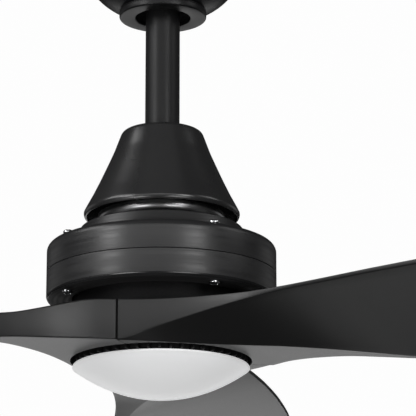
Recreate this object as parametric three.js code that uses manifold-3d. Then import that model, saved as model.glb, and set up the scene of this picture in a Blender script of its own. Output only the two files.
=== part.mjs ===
// Three-blade ceiling fan with a round LED light, hung on a short down rod.
// Millimetres, +Z up. The origin is the centre of the ceiling bracket's top face, on the ceiling.
// Everything hangs below it. The motor housing stands still, the rotor carries the blades under it,
// and the hollow motor shaft passes through the rotor to hold the light.

import * as THREE from 'three';
import { mergeVertices } from 'three/addons/utils/BufferGeometryUtils.js';
import { ParametricGeometry } from 'three/addons/geometries/ParametricGeometry.js';
import Module from 'manifold-3d';

const wasm = await Module();
wasm.setup();

// ---------------------------------------------------------------- driving dimensions

const gap = 0.3;                  // between faces that touch on the real fan
const hangHeight = 343;           // ceiling to the underside of the blade hub
const bladeReach = 660;           // axis to blade tip
const bladeCount = 3;

// ceiling bracket and hanger ball
const bracketSheet = 2.5;
const bracketTabFit = 0.63;       // screw tab to the canopy's wall
const bracketTabHalfWidth = 10;
const bracketTabDrop = 16;
const bracketBallGap = 1.7;       // ball to the bracket's side walls
const bracketBodyHalfLength = 23;
const ballRadius = 24;
const ballDepth = 30;             // ceiling to ball centre
const ballTopCut = 15;            // ball centre to its flat top
const seatWall = 2;
const seatFlange = 3.4;
const seatDepth = 12;             // ball centre to the bracket floor
const mountSlotWidth = 6;
const mountSlotLength = 14;
const mountSlotInset = 26;        // screw tab's face to the slot's centre

// down rod, yoke and their pins
const rodRadius = 13.6;
const rodWall = 2.3;
const rodAboveBall = 12;
const slidingFit = 0.3;           // rod in ball and yoke
const pinRadius = 3;
const pinFit = 0.2;
const yokeWall = 6.4;
const yokeFloor = 10;
const yokeHeight = 77.9;
const yokeFlangeGap = 1;          // flange to the neck ring
const yokeFlangeSheet = 4;
const clevisPinHeight = 45;       // above the yoke's base
const clipWire = 0.9;
const yokeSetScrewHeight = 28;

// canopy and its trim ring
const canopyMouthRadius = 65;
const canopyWaistRadius = 62;
const canopyWaistDepth = 23;
const canopyBowlHeight = 42;
const canopyBowlReach = 69;       // half width of the ellipse that the bowl follows
const canopyWall = 1.5;
const canopyMouthGap = 1;
const canopyHoleRadius = 30;
const trimRadius = 34.7;
const trimHoleRadius = 21.85;
const trimFloor = 2.5;
const trimWall = 2.5;
const trimDrop = 5.25;            // canopy's lower edge to the ring's lower face
const canopyScrewDepth = 10;
const canopyScrewPast = 0.88;     // past the bracket's tab

// yoke cover, the cone over the coupling
const coverRimRadius = 60.95;     // at the widest line
const coverRimHeight = 2.7;       // lower edge to the widest line
const coverRimRound = 6;          // turned in below the widest line
const coverSideBottomRadius = 59.2;
const coverSideBottom = 7.1;
const coverSideSag = 1.2;         // how far the side bows in halfway up
const coverTopRadius = 31;        // where side and top would meet
const coverHeight = 70.2;
const coverShoulder = 6.8;
const coverWall = 1.6;
const coverRodGap = 0.65;
const neckRingInset = 10.95;      // widest line of the cover to the ring
const neckRingWall = 4;
const neckRingHeight = 12;
const neckRingRound = 7;          // lower edge
const neckRingRoundTop = 9;       // height where the lower edge's round ends

// motor housing, heights above the hub underside
const housingRadius = 89.2;
const housingWall = 2.7;
const housingBottom = 47;
const housingSplit = 68;
const housingTop = 91.1;
const housingTopRound = 5.6;
const housingBottomRound = 3;
const housingSheet = 3;
const bossInset = 15.5;           // screw circle to the boss
const bossTaper = 2.8;
const bossTop = 104.2;
const housingScrewInset = 7.7;
const housingScrewCount = 4;
const housingScrewTurn = 30;      // degrees
const housingPostRadius = 3.9;

// motor
const shaftRadius = 7.5;
const shaftWall = 3;
const bearingRadius = 16;
const bearingWidth = 9;
const bearingFit = 0.2;
const drumInset = 8.1;            // rotor's cup to the drum seen under the housing
const drumWall = 4;
const rotorRunGap = 1.5;
const rotorWall = 3;
const rotorTop = 80;
const magnetThickness = 3.2;
const airGap = 1;
const statorInnerRadius = 26;
const statorBottom = 58;
const statorTop = 74;
const statorTeeth = 12;
const windingOverhang = 4.5;
const slotRoom = 2.37;            // tooth to winding, on each side

// blades, in a frame whose X runs out along the blade, heights from the hub underside
const hubRadius = 88;             // corner radius at the seam between two blade roots
const rootTop = 30.7;
const seamGap = 0.7;
const recessOverDrum = 2;         // light recess, wider than the drum
const tabRim = 11;                // blade screws to the tab's inner edge
const tabSheet = 5;
const bladeSweep = 18.5;          // degrees from the root's centre line to the blade's own line
const firstBladeTurn = 308.8;     // degrees, centre line of the first root
const bladeScrewInset = 12;       // drum to the blade screws
const bladeScrewsPerBlade = 2;
const bladeScrewSpread = 60;      // degrees

const sectionRecess = 70;         // recess radius that the blade sections are drawn for

// Blade sections. Each row: distance along the blade as a share of its reach, leading edge Y, its
// lower and upper Z, crease Y and Z, trailing edge Y, its lower and upper Z.
const bladeSections = [
  [0.0000, -96, 0.5, 31.0, -95, 0.0, 76, 0, 30.7],
  [0.0280, -83.3, 0.9, 31.0, -82, 0.0, 70, 0, 30.7],
  [0.0590, -71.5, 8.9, 31.0, -63, 0.0, 64, 0, 30.7],
  [0.0924, -62.9, 15.6, 31.0, -39.5, 0.0, 60, 0, 30.7],
  [0.1300, -56.4, 21.7, 31.0, -17.5, -0.1, 51.9, 0, 29.6],
  [0.1680, -53.0, 25.7, 31.0, 0.5, -0.7, 47.6, -1.2, 23.5],
  [0.2120, -55.2, 27.6, 30.8, 19.5, -2.8, 47.2, -3.4, 15.6],
  [0.2545, -61.0, 27.0, 30.2, 33.0, -6.2, 48.9, -7.0, 10.0],
  [0.3000, -68.2, 26.2, 29.5, 44.0, -10.3, 51.8, -10.9, -0.5],
  [0.3485, -75.0, 25.6, 29.0, 53.0, -12.8, 57, -13.0, -7.5],
  [0.4500, -85.5, 24.4, 28.2, 62, -13.7, 67, -14.0, -10.3],
  [0.5800, -93.5, 22.8, 26.6, 70, -13.2, 75, -13.4, -9.8],
  [0.7100, -92.0, 20.6, 24.4, 69, -11.6, 74, -11.8, -8.2],
  [0.8400, -83.0, 17.6, 21.4, 61, -9.5, 66, -9.7, -6.1],
  [0.9400, -70.0, 14.8, 18.6, 49, -7.6, 54, -7.8, -4.2],
  [0.9850, -57.0, 12.8, 16.4, 36, -6.0, 41, -6.2, -2.8],
  [1.0000, -40.0, 10.6, 13.6, 19, -3.8, 24, -4.0, -1.0],
];
const bladeCrown = 2.5;           // extra thickness halfway across the outer blade
const bladeStations = 24;

// light
const finCount = 48;
const finSheet = 1.6;
const finInset = 3;               // recess wall to fin tips
const finBottom = -2;
const skirtWall = 1.4;            // ring that carries the fins
const skirtBottom = -2.6;
const lensTurnGap = 0.8;          // lens neck to that ring
const sinkPlateBottom = 12;
const sinkPlateTop = 15.7;
const carrierSheet = 2.5;
const carrierInset = 10;          // recess wall to the lamp carrier's rim
const lensInset = 1.7;            // recess wall to the lens
const lensRim = -5.4;             // height of the widest line
const lensBottom = -28.4;
const lensTop = -3.8;
const lensWall = 2;
const lensNeckInset = 9.3;        // lens rim to its neck
const lensNeckTop = 2.5;
const lensTabAngle = 26;          // degrees, each of three bayonet tabs
const traySheet = 2;
const trayTop = 1;
const boardSheet = 1.6;
const boardInset = 9;             // lens neck to the LED board
const ledRows = [[30, 6], [12, 12]];   // board's edge to the LED circle, and number of LEDs
const traySupportRadius = 3;
const driverInset = 18;           // tray supports' circle to the driver's end

// fasteners: head radius, head height, shank radius, shank length
const housingScrew = { head: 3.9, headHeight: 2.8, shank: 2, length: 12 };
const longHousingScrew = { ...housingScrew, length: 30 };
const bladeScrew = { head: 4.5, headHeight: 3.2, shank: 2.4, length: 8.6 };
const yokeScrew = { head: 4, headHeight: 2.6, shank: 2, length: 8 };
const canopyScrew = { head: 4, headHeight: 2.4, shank: 2 };
const trayScrew = { head: 3, headHeight: 1.8, shank: 1.4, length: 8 };
const screwHoleFit = 0.3;

// ---------------------------------------------------------------- materials

const material = (color, roughness, metalness) =>
  new THREE.MeshStandardMaterial({ color, roughness, metalness });
const blackPaint = material(0x2b2b2c, 0.48, 0.1);
const blackSatin = material(0x303031, 0.38, 0.2);
const bladePlastic = material(0x39393a, 0.55, 0.0);
const opalPlastic = material(0xe4e6e7, 0.35, 0.0);
const zincSteel = material(0xb4b6b8, 0.35, 0.9);
const chrome = material(0xd8dadc, 0.15, 1.0);
const castAluminium = material(0x8d9092, 0.5, 0.8);
const darkAluminium = material(0x1c1c1d, 0.5, 0.4);
const laminations = material(0x6b6c6e, 0.45, 0.9);
const copper = material(0xb06a3c, 0.35, 0.9);
const magnet = material(0x3a3a3c, 0.4, 0.6);
const nylon = material(0xd9d4c4, 0.5, 0.0);
const whiteBoard = material(0xf0f0ec, 0.5, 0.0);
const greyPlastic = material(0x55585b, 0.6, 0.0);

// ---------------------------------------------------------------- shared shape tools

const degrees = Math.PI / 180;
const fine = 28;                  // facets round a piece that shows
const plain = 16;                 // facets round a piece inside
const up = (height) => height - hangHeight;   // height above the hub underside to Z

// Closed solid of a geometry: vertices merged by place, empty triangles dropped, faces outward.
function solid(geometry) {
  const bare = geometry.clone();
  bare.deleteAttribute('normal');
  bare.deleteAttribute('uv');
  const merged = mergeVertices(bare, 1e-4);
  const place = merged.attributes.position.array;
  const corners = merged.index.array;
  const kept = [];
  let volume = 0;
  const a = new THREE.Vector3();
  const b = new THREE.Vector3();
  const c = new THREE.Vector3();
  for (let i = 0; i < corners.length; i += 3) {
    const [p, q, r] = [corners[i], corners[i + 1], corners[i + 2]];
    if (p === q || q === r || r === p) continue;
    a.fromArray(place, 3 * p);
    b.fromArray(place, 3 * q);
    c.fromArray(place, 3 * r);
    volume += a.dot(b.cross(c));
    kept.push(p, q, r);
  }
  if (volume < 0) kept.reverse();
  const triVerts = new Uint32Array(kept);
  const vertProperties = new Float32Array(place);
  return new wasm.Manifold(new wasm.Mesh({ numProp: 3, vertProperties, triVerts }));
}

function geometryOf(body) {
  const { vertProperties, triVerts } = body.getMesh();
  const geometry = new THREE.BufferGeometry();
  geometry.setAttribute('position', new THREE.BufferAttribute(new Float32Array(vertProperties), 3));
  geometry.setIndex(new THREE.BufferAttribute(new Uint32Array(triVerts), 1));
  return geometry;
}

const cut = (body, ...tools) => tools.reduce((whole, tool) => whole.subtract(solid(tool)), body);
const join = (body, ...extras) => extras.reduce((whole, extra) => whole.add(solid(extra)), body);

const group = new THREE.Group();

function piece(name, body, look, place = {}) {
  const geometry = geometryOf(body.isBufferGeometry ? solid(body) : body);
  const mesh = new THREE.Mesh(geometry, look);
  mesh.name = name;
  mesh.position.set(place.x ?? 0, place.y ?? 0, place.z ?? 0);
  mesh.rotation.set(place.turnX ?? 0, place.turnY ?? 0, place.turnZ ?? 0, 'ZYX');
  group.add(mesh);
  return mesh;
}

// Round solid about Z from a profile of [radius, height]; a profile off the axis closes on itself.
function turned(profile, segments = plain) {
  const points = profile.map(([radius, height]) => new THREE.Vector2(radius, height));
  const onAxis = points[0].x === 0 && points[points.length - 1].x === 0;
  if (!onAxis) points.push(points[0].clone());
  return new THREE.LatheGeometry(points, segments).rotateX(Math.PI / 2);
}

const ringOf = (inner, outer, bottom, top, segments = plain) =>
  turned([[inner, bottom], [outer, bottom], [outer, top], [inner, top]], segments);

function arc(centreRadius, centreHeight, radius, from, to, steps) {
  return Array.from({ length: steps + 1 }, (_, i) => {
    const angle = (from + (to - from) * i / steps) * degrees;
    return [centreRadius + radius * Math.cos(angle), centreHeight + radius * Math.sin(angle)];
  });
}

function rodAlong(axis, radius, from, to, segments = 16) {
  const geometry = turned([[0, from], [radius, from], [radius, to], [0, to]], segments);
  if (axis === 'x') geometry.rotateY(Math.PI / 2);
  if (axis === 'y') geometry.rotateX(-Math.PI / 2);
  return geometry;
}

const box = (x0, x1, y0, y1, z0, z1) =>
  new THREE.BoxGeometry(x1 - x0, y1 - y0, z1 - z0)
    .translate((x0 + x1) / 2, (y0 + y1) / 2, (z0 + z1) / 2);

// Pan-head screw with its seat at the origin, head up and shank down.
function screw({ head, headHeight, shank, length }) {
  return turned([
    [0, -length], [shank, -length], [shank, 0], [head, 0], [head, headHeight * 0.5],
    [head * 0.62, headHeight * 0.92], [0, headHeight],
  ], 8);
}

// ---------------------------------------------------------------- ceiling bracket and hanger

const ballCentre = -ballDepth;
const bracketFloorTop = ballCentre - seatDepth;
const bracketFloorBottom = bracketFloorTop - bracketSheet - 0.5;
const seatHoleRadius = Math.sqrt(ballRadius ** 2 - seatDepth ** 2) + seatWall - 0.8;
const bracketHalfWidth = ballRadius + bracketBallGap + bracketSheet;
const canopyTaper = (canopyMouthRadius - canopyWaistRadius) / (canopyWaistDepth - canopyMouthGap);
const canopyInnerAt = (depth) =>
  canopyMouthRadius - canopyTaper * (depth - canopyMouthGap) - canopyWall;
const tabCorner = Math.min(canopyInnerAt(canopyMouthGap), canopyInnerAt(bracketTabDrop));
const screwTabFace = Math.sqrt(tabCorner ** 2 - bracketTabHalfWidth ** 2) - bracketTabFit;
const mountSlotOffset = screwTabFace - mountSlotInset;

{
  const half = bracketHalfWidth;
  const body = bracketBodyHalfLength;
  const tab = bracketTabHalfWidth;
  const plateHalf = mountSlotOffset + mountSlotLength / 2 + 4;
  let bracket = solid(box(-half, half, -plateHalf, plateHalf, -bracketSheet, 0));
  bracket = join(bracket, box(-tab, tab, -screwTabFace, screwTabFace, -bracketSheet, 0));
  for (const side of [-1, 1]) {
    const inner = half - bracketSheet;
    const wall = side > 0 ? [inner, half] : [-half, -inner];
    bracket = join(bracket, box(...wall, -body, body, bracketFloorBottom, 0));
    const end = side * screwTabFace;
    const ends = [Math.min(end, end - side * bracketSheet), Math.max(end, end - side * bracketSheet)];
    bracket = join(bracket, box(-tab, tab, ...ends, -bracketTabDrop, 0));
  }
  bracket = join(bracket, box(-half, half, -body, body, bracketFloorBottom, bracketFloorTop));
  const slot = mountSlotWidth / 2;
  for (const side of [-1, 1]) {
    const from = side * mountSlotOffset - mountSlotLength / 2;
    bracket = cut(bracket, box(-slot, slot, from, from + mountSlotLength, -2 * bracketSheet, 1));
    const hole = canopyScrew.shank + screwHoleFit;
    const drill = rodAlong('y', hole, screwTabFace - 10, screwTabFace + 5, 12);
    bracket = cut(bracket, drill.rotateZ(side > 0 ? 0 : Math.PI).translate(0, 0, -canopyScrewDepth));
  }
  const floorHole = rodAlong('z', seatHoleRadius, bracketFloorBottom - 1, bracketFloorTop + 1, plain);
  bracket = cut(bracket, floorHole);
  piece('ceiling_bracket', bracket, zincSteel);
}

{
  const inner = ballRadius + gap;
  const atDepth = (depth) => Math.sqrt(inner ** 2 - depth ** 2);
  const outer = seatHoleRadius - gap;
  const top = -seatDepth + gap + seatWall;
  const bottom = bracketFloorBottom - ballCentre + 0.5;
  const middle = (top + bottom) / 2;
  const seat = turned([
    [atDepth(top), top], [outer + seatFlange, top], [outer + seatFlange, -seatDepth + gap],
    [outer, -seatDepth + gap], [outer, bottom], [atDepth(bottom), bottom],
    [atDepth(middle), middle],
  ]);
  piece('ball_seat', seat, nylon, { z: ballCentre });
}

const ballPinHalfLength = ballRadius - 2;
{
  const bore = rodRadius + slidingFit;
  let ball = solid(new THREE.SphereGeometry(ballRadius, plain, 12).rotateX(Math.PI / 2));
  ball = cut(ball,
    rodAlong('z', bore, -2 * ballRadius, 2 * ballRadius, plain),
    rodAlong('x', pinRadius + pinFit, -2 * ballRadius, 2 * ballRadius, 14),
    box(-ballRadius, ballRadius, -ballRadius, ballRadius, ballTopCut, 2 * ballRadius),
    rodAlong('y', 2.5, 0, 2 * ballRadius, 10).translate(0, 0, 8));
  piece('hanger_ball', ball, greyPlastic, { z: ballCentre });
  const pin = rodAlong('x', pinRadius, -ballPinHalfLength, ballPinHalfLength, 14);
  piece('hanger_pin', pin, zincSteel, { z: ballCentre });
  const setScrew = rodAlong('y', 2.2, rodRadius + gap, ballRadius - 3, 10);
  piece('ball_set_screw', setScrew, zincSteel, { z: ballCentre + 8 });
}

// ---------------------------------------------------------------- yoke, its fasteners and the rod

const neckRingRadius = coverRimRadius - neckRingInset;
const yokeFlangeRadius = neckRingRadius - neckRingWall - yokeFlangeGap;
const yokeBase = up(bossTop) + gap;
const yokeTop = yokeBase + yokeHeight;
const yokeRadius = rodRadius + slidingFit + yokeWall;
const rodBottom = yokeBase + yokeFloor + gap;
const rodTop = ballCentre + rodAboveBall;
const clevisPin = yokeBase + clevisPinHeight;
const yokeSetScrew = yokeBase + yokeSetScrewHeight;
const shaftHole = shaftRadius + gap;

{
  let rod = solid(ringOf(rodRadius - rodWall, rodRadius, rodBottom, rodTop, plain));
  const reach = 2 * rodRadius;
  rod = cut(rod,
    rodAlong('x', pinRadius + pinFit, -reach, reach, 14).translate(0, 0, ballCentre),
    rodAlong('x', pinRadius + pinFit, -reach, reach, 14).translate(0, 0, clevisPin));
  piece('downrod', rod, blackSatin);
}

{
  const bore = rodRadius + slidingFit;
  let yoke = solid(turned([
    [shaftHole, 0], [yokeFlangeRadius, 0], [yokeFlangeRadius, yokeFlangeSheet],
    [yokeRadius + 4, yokeFlangeSheet], [yokeRadius, yokeFlangeSheet + 4],
    [yokeRadius, yokeHeight], [bore, yokeHeight], [bore, yokeFloor], [shaftHole, yokeFloor],
  ]));
  yoke = cut(yoke,
    rodAlong('x', pinRadius + pinFit, -2 * yokeRadius, 2 * yokeRadius, 14)
      .translate(0, 0, clevisPinHeight),
    rodAlong('y', 2.5, 0, 2 * yokeRadius, 10).translate(0, 0, yokeSetScrewHeight));
  const circle = (yokeFlangeRadius + yokeRadius) / 2 + 2;
  for (let i = 0; i < 3; i += 1) {
    const turn = (30 + 120 * i) * degrees;
    const x = circle * Math.cos(turn);
    const y = circle * Math.sin(turn);
    const drill = rodAlong('z', yokeScrew.shank + screwHoleFit, -1, 2 * yokeFlangeSheet, 8);
    yoke = cut(yoke, drill.translate(x, y, 0));
    const height = yokeBase + yokeFlangeSheet + gap;
    piece(`yoke_screw_${i + 1}`, screw(yokeScrew), zincSteel, { x, y, z: height });
  }
  piece('yoke', yoke, castAluminium, { z: yokeBase });
}

const clevisReach = yokeRadius + 5;
{
  const pin = turned([
    [0, -clevisReach], [pinRadius, -clevisReach], [pinRadius, yokeRadius + gap],
    [pinRadius + 2, yokeRadius + gap], [pinRadius + 2, yokeRadius + gap + 2.5],
    [0, yokeRadius + gap + 2.5],
  ], 14).rotateY(-Math.PI / 2);
  const clipPlace = clevisReach - 2.4;
  const drill = rodAlong('z', clipWire + pinFit, -3 * pinRadius, 3 * pinRadius, 10);
  piece('clevis_pin', cut(solid(pin), drill.translate(clipPlace, 0, 0)), zincSteel, { z: clevisPin });

  const outerLeg = clevisReach + 2.6;
  const middle = (clipPlace + outerLeg) / 2;
  const bend = (outerLeg - clipPlace) / 2;
  const route = new THREE.CatmullRomCurve3([
    new THREE.Vector3(clipPlace, 0, -11), new THREE.Vector3(clipPlace, 0, -4),
    new THREE.Vector3(clipPlace, 0, 4), new THREE.Vector3(clipPlace, 0, 9),
    new THREE.Vector3(middle, 0, 9 + bend), new THREE.Vector3(outerLeg, 0, 9),
    new THREE.Vector3(outerLeg, 0, 2), new THREE.Vector3(outerLeg + 0.8, 0, -7),
  ]);
  const wire = new THREE.Shape();
  wire.absarc(0, 0, clipWire, 0, 2 * Math.PI, false);
  const clip = new THREE.ExtrudeGeometry(wire, { steps: 18, curveSegments: 4, extrudePath: route });
  piece('clevis_clip', clip, zincSteel, { z: clevisPin });

  const setScrew = rodAlong('y', 2.2, rodRadius + gap, yokeRadius - 0.5, 10);
  piece('yoke_set_screw', setScrew, zincSteel, { z: yokeSetScrew });
}

// ---------------------------------------------------------------- canopy and trim ring

// Outer radius of the canopy's bowl at a depth below the ceiling.
const bowlCentre = canopyWaistRadius - canopyBowlReach;
const bowlDepthAt = (radius, inset) => {
  const share = (radius - bowlCentre) / (canopyBowlReach - inset);
  return canopyWaistDepth + (canopyBowlHeight - inset) * Math.sqrt(1 - share ** 2);
};

const trimBottomDepth = bowlDepthAt(canopyHoleRadius, 0) + trimDrop;

{
  const steps = 7;
  const bowl = (inset) => Array.from({ length: steps + 1 }, (_, i) => {
    const end = Math.acos((canopyHoleRadius - bowlCentre) / (canopyBowlReach - inset));
    const angle = end * i / steps;
    return [
      bowlCentre + (canopyBowlReach - inset) * Math.cos(angle),
      -canopyWaistDepth - (canopyBowlHeight - inset) * Math.sin(angle),
    ];
  });
  let canopy = solid(turned([
    [canopyMouthRadius, -canopyMouthGap], ...bowl(0),
    ...bowl(canopyWall).reverse(), [canopyMouthRadius - canopyWall, -canopyMouthGap],
  ], fine));
  const hole = canopyScrew.shank + screwHoleFit;
  canopy = cut(canopy,
    rodAlong('y', hole, -2 * canopyMouthRadius, 2 * canopyMouthRadius, 12)
      .translate(0, 0, -canopyScrewDepth));
  piece('canopy', canopy, blackPaint);

  const screwSeat = canopyInnerAt(canopyScrewDepth) + canopyWall
    + Math.abs(canopyTaper) * canopyScrew.head + gap;
  for (const side of [-1, 1]) {
    const place = { y: side * screwSeat, z: -canopyScrewDepth, turnX: -side * Math.PI / 2 };
    const length = screwSeat - screwTabFace + bracketSheet + canopyScrewPast;
    piece(`canopy_screw_${side > 0 ? 1 : 2}`, screw({ ...canopyScrew, length }), blackSatin, place);
  }
}

{
  const floor = -trimBottomDepth;
  const wallTop = -bowlDepthAt(trimRadius - trimWall, 0) - gap;
  const ring = turned([
    [trimHoleRadius, floor + 0.6], [trimHoleRadius + 0.6, floor], [trimRadius - 1, floor],
    [trimRadius, floor + 1], [trimRadius, wallTop], [trimRadius - trimWall, wallTop],
    [trimRadius - trimWall, floor + trimFloor], [trimHoleRadius, floor + trimFloor],
  ], fine);
  piece('canopy_trim_ring', ring, blackPaint);
}

// Receiver and terminal block lie against the bracket's side walls, inside the canopy.
{
  const face = bracketHalfWidth + gap;
  const receiver = new THREE.Shape();
  receiver.moveTo(-24, 0);
  receiver.lineTo(24, 0);
  receiver.lineTo(27, 3);
  receiver.lineTo(27, 15);
  receiver.lineTo(24, 18);
  receiver.lineTo(-24, 18);
  receiver.lineTo(-27, 15);
  receiver.lineTo(-27, 3);
  receiver.closePath();
  const receiverBody = new THREE.ExtrudeGeometry(receiver, { depth: 20, bevelEnabled: false });
  receiverBody.rotateZ(-Math.PI / 2).translate(face, 0, -26);
  piece('receiver_box', receiverBody, greyPlastic);

  let block = solid(box(-face - 12, -face, -18, 18, -20, -8));
  for (const y of [-12, -4, 4, 12]) {
    block = cut(block, rodAlong('z', 2.4, -14, 0, 10).translate(-face - 6, y, 0));
    block = cut(block, rodAlong('x', 1.8, -face - 14, -face - 6, 10).translate(0, y, -16));
  }
  piece('terminal_block', block, nylon);
}

// ---------------------------------------------------------------- yoke cover and neck ring

const coverBottom = yokeTop + gap + coverWall - coverHeight;
{
  const rodHole = rodRadius + coverRodGap;
  const wall = coverWall;
  const rimTurn = Math.asin(coverRimHeight / coverRimRound) / degrees;
  const rim = (inset) => arc(coverRimRadius - coverRimRound, coverRimHeight, coverRimRound - inset,
    -rimTurn, 0, 2);
  const halfUp = (coverSideBottom + coverHeight) / 2;
  const side = [
    [coverSideBottomRadius, coverSideBottom],
    [(coverSideBottomRadius + coverTopRadius) / 2 - coverSideSag, halfUp],
    [coverTopRadius + 2.4, coverHeight - coverShoulder + 0.8],
  ];
  const shoulder = arc(coverTopRadius - coverShoulder + 2, coverHeight - coverShoulder, coverShoulder,
    25, 90, 3);
  const inside = side.map(([radius, height]) => [radius - wall, height - wall / 2]);
  const cover = turned([
    ...rim(0), ...side, ...shoulder, [rodHole, coverHeight], [rodHole, coverHeight - wall],
    [coverTopRadius - coverShoulder + 2, coverHeight - wall], ...inside.reverse(), ...rim(wall).reverse(),
  ], fine);
  piece('yoke_cover', cover, blackPaint, { z: coverBottom });
}

{
  const inner = neckRingRadius - neckRingWall;
  const round = neckRingRound;
  const foot = neckRingRadius - round + Math.sqrt(round ** 2 - (neckRingRoundTop - 3) ** 2);
  const turn = Math.asin((neckRingRoundTop - 3) / round) / degrees;
  const ring = turned([
    [inner, 0], [foot, 0], ...arc(neckRingRadius - round, neckRingRoundTop, round, -turn, 0, 3),
    [neckRingRadius, neckRingHeight - 0.5], [neckRingRadius - 0.5, neckRingHeight],
    [inner, neckRingHeight],
  ], fine);
  piece('neck_ring', ring, blackSatin, { z: yokeBase });
}

// ---------------------------------------------------------------- motor housing

const housingScrewCircle = housingRadius - housingScrewInset;
const bossRadius = housingScrewCircle - bossInset;
const bossTopRadius = bossRadius - bossTaper;
const rotorRadius = housingScrewCircle - housingPostRadius - rotorRunGap;
const drumRadius = rotorRadius - drumInset;
const recessRadius = drumRadius + recessOverDrum;
const bladeScrewCircle = drumRadius - bladeScrewInset;
const tabInnerRadius = bladeScrewCircle - tabRim;
const screwSpots = Array.from({ length: housingScrewCount }, (_, i) => {
  const turn = (housingScrewTurn + 360 * i / housingScrewCount) * degrees;
  return [housingScrewCircle * Math.cos(turn), housingScrewCircle * Math.sin(turn)];
});

{
  const innerRadius = housingRadius - housingWall;
  const round = housingTopRound;
  const sheet = housingSheet;
  let upper = solid(turned([
    [housingRadius, housingSplit + gap],
    ...arc(housingRadius - round, housingTop - round, round, 0, 90, 3),
    [bossRadius, housingTop], [bossTopRadius, bossTop - 0.8], [bossTopRadius - 0.8, bossTop],
    [shaftHole, bossTop], [shaftHole, bossTop - sheet], [bossTopRadius - sheet, bossTop - sheet],
    [bossRadius - sheet, housingTop - sheet], [innerRadius - 2, housingTop - sheet],
    [innerRadius, housingTop - sheet - 2], [innerRadius, housingSplit + gap],
  ], fine));
  let lower = solid(turned([
    [drumRadius + rotorRunGap, housingBottom],
    ...arc(housingRadius - housingBottomRound, housingBottom + housingBottomRound,
      housingBottomRound, -90, 0, 2),
    [housingRadius, housingSplit], [innerRadius, housingSplit],
    [innerRadius, housingBottom + housingWall], [drumRadius + rotorRunGap, housingBottom + housingWall],
  ], fine));
  const hole = housingScrew.shank + screwHoleFit;
  for (const [x, y] of screwSpots) {
    const post = rodAlong('z', housingPostRadius, housingBottom + 1, housingSplit - gap, 10);
    lower = join(lower, post.translate(x, y, 0));
  }
  screwSpots.forEach(([x, y], i) => {
    lower = cut(lower, rodAlong('z', hole, housingBottom - 1, housingSplit + 1, 8).translate(x, y, 0));
    upper = cut(upper, rodAlong('z', hole, housingTop - 2 * sheet, housingTop + 1, 8).translate(x, y, 0));
    const above = { x, y, z: up(housingTop) + gap };
    const below = { x, y, z: up(housingBottom) - gap, turnX: Math.PI };
    piece(`housing_top_screw_${i + 1}`, screw(longHousingScrew), chrome, above);
    piece(`housing_bottom_screw_${i + 1}`, screw({ ...housingScrew, length: 8 }), chrome, below);
  });
  const flangeCircle = (yokeFlangeRadius + yokeRadius) / 2 + 2;
  for (let i = 0; i < 3; i += 1) {
    const turn = (30 + 120 * i) * degrees;
    const drill = rodAlong('z', yokeScrew.shank + screwHoleFit, bossTop - 2 * sheet, bossTop + 1, 8);
    upper = cut(upper,
      drill.translate(flangeCircle * Math.cos(turn), flangeCircle * Math.sin(turn), 0));
  }
  piece('upper_housing', upper, blackSatin, { z: up(0) });
  piece('lower_housing', lower, blackSatin, { z: up(0) });
}

// ---------------------------------------------------------------- motor

const carrierTop = sinkPlateTop + gap + carrierSheet;
const nutHeight = 4.8;
const shaftBottom = sinkPlateTop - nutHeight - 0.4;
const rotorBottom = rootTop + gap;
const rotorFlange = housingBottom + housingWall + 1;
const lowerBearing = rotorBottom + 5;
const rotorCoverTop = rotorTop + gap + rotorWall;

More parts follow.
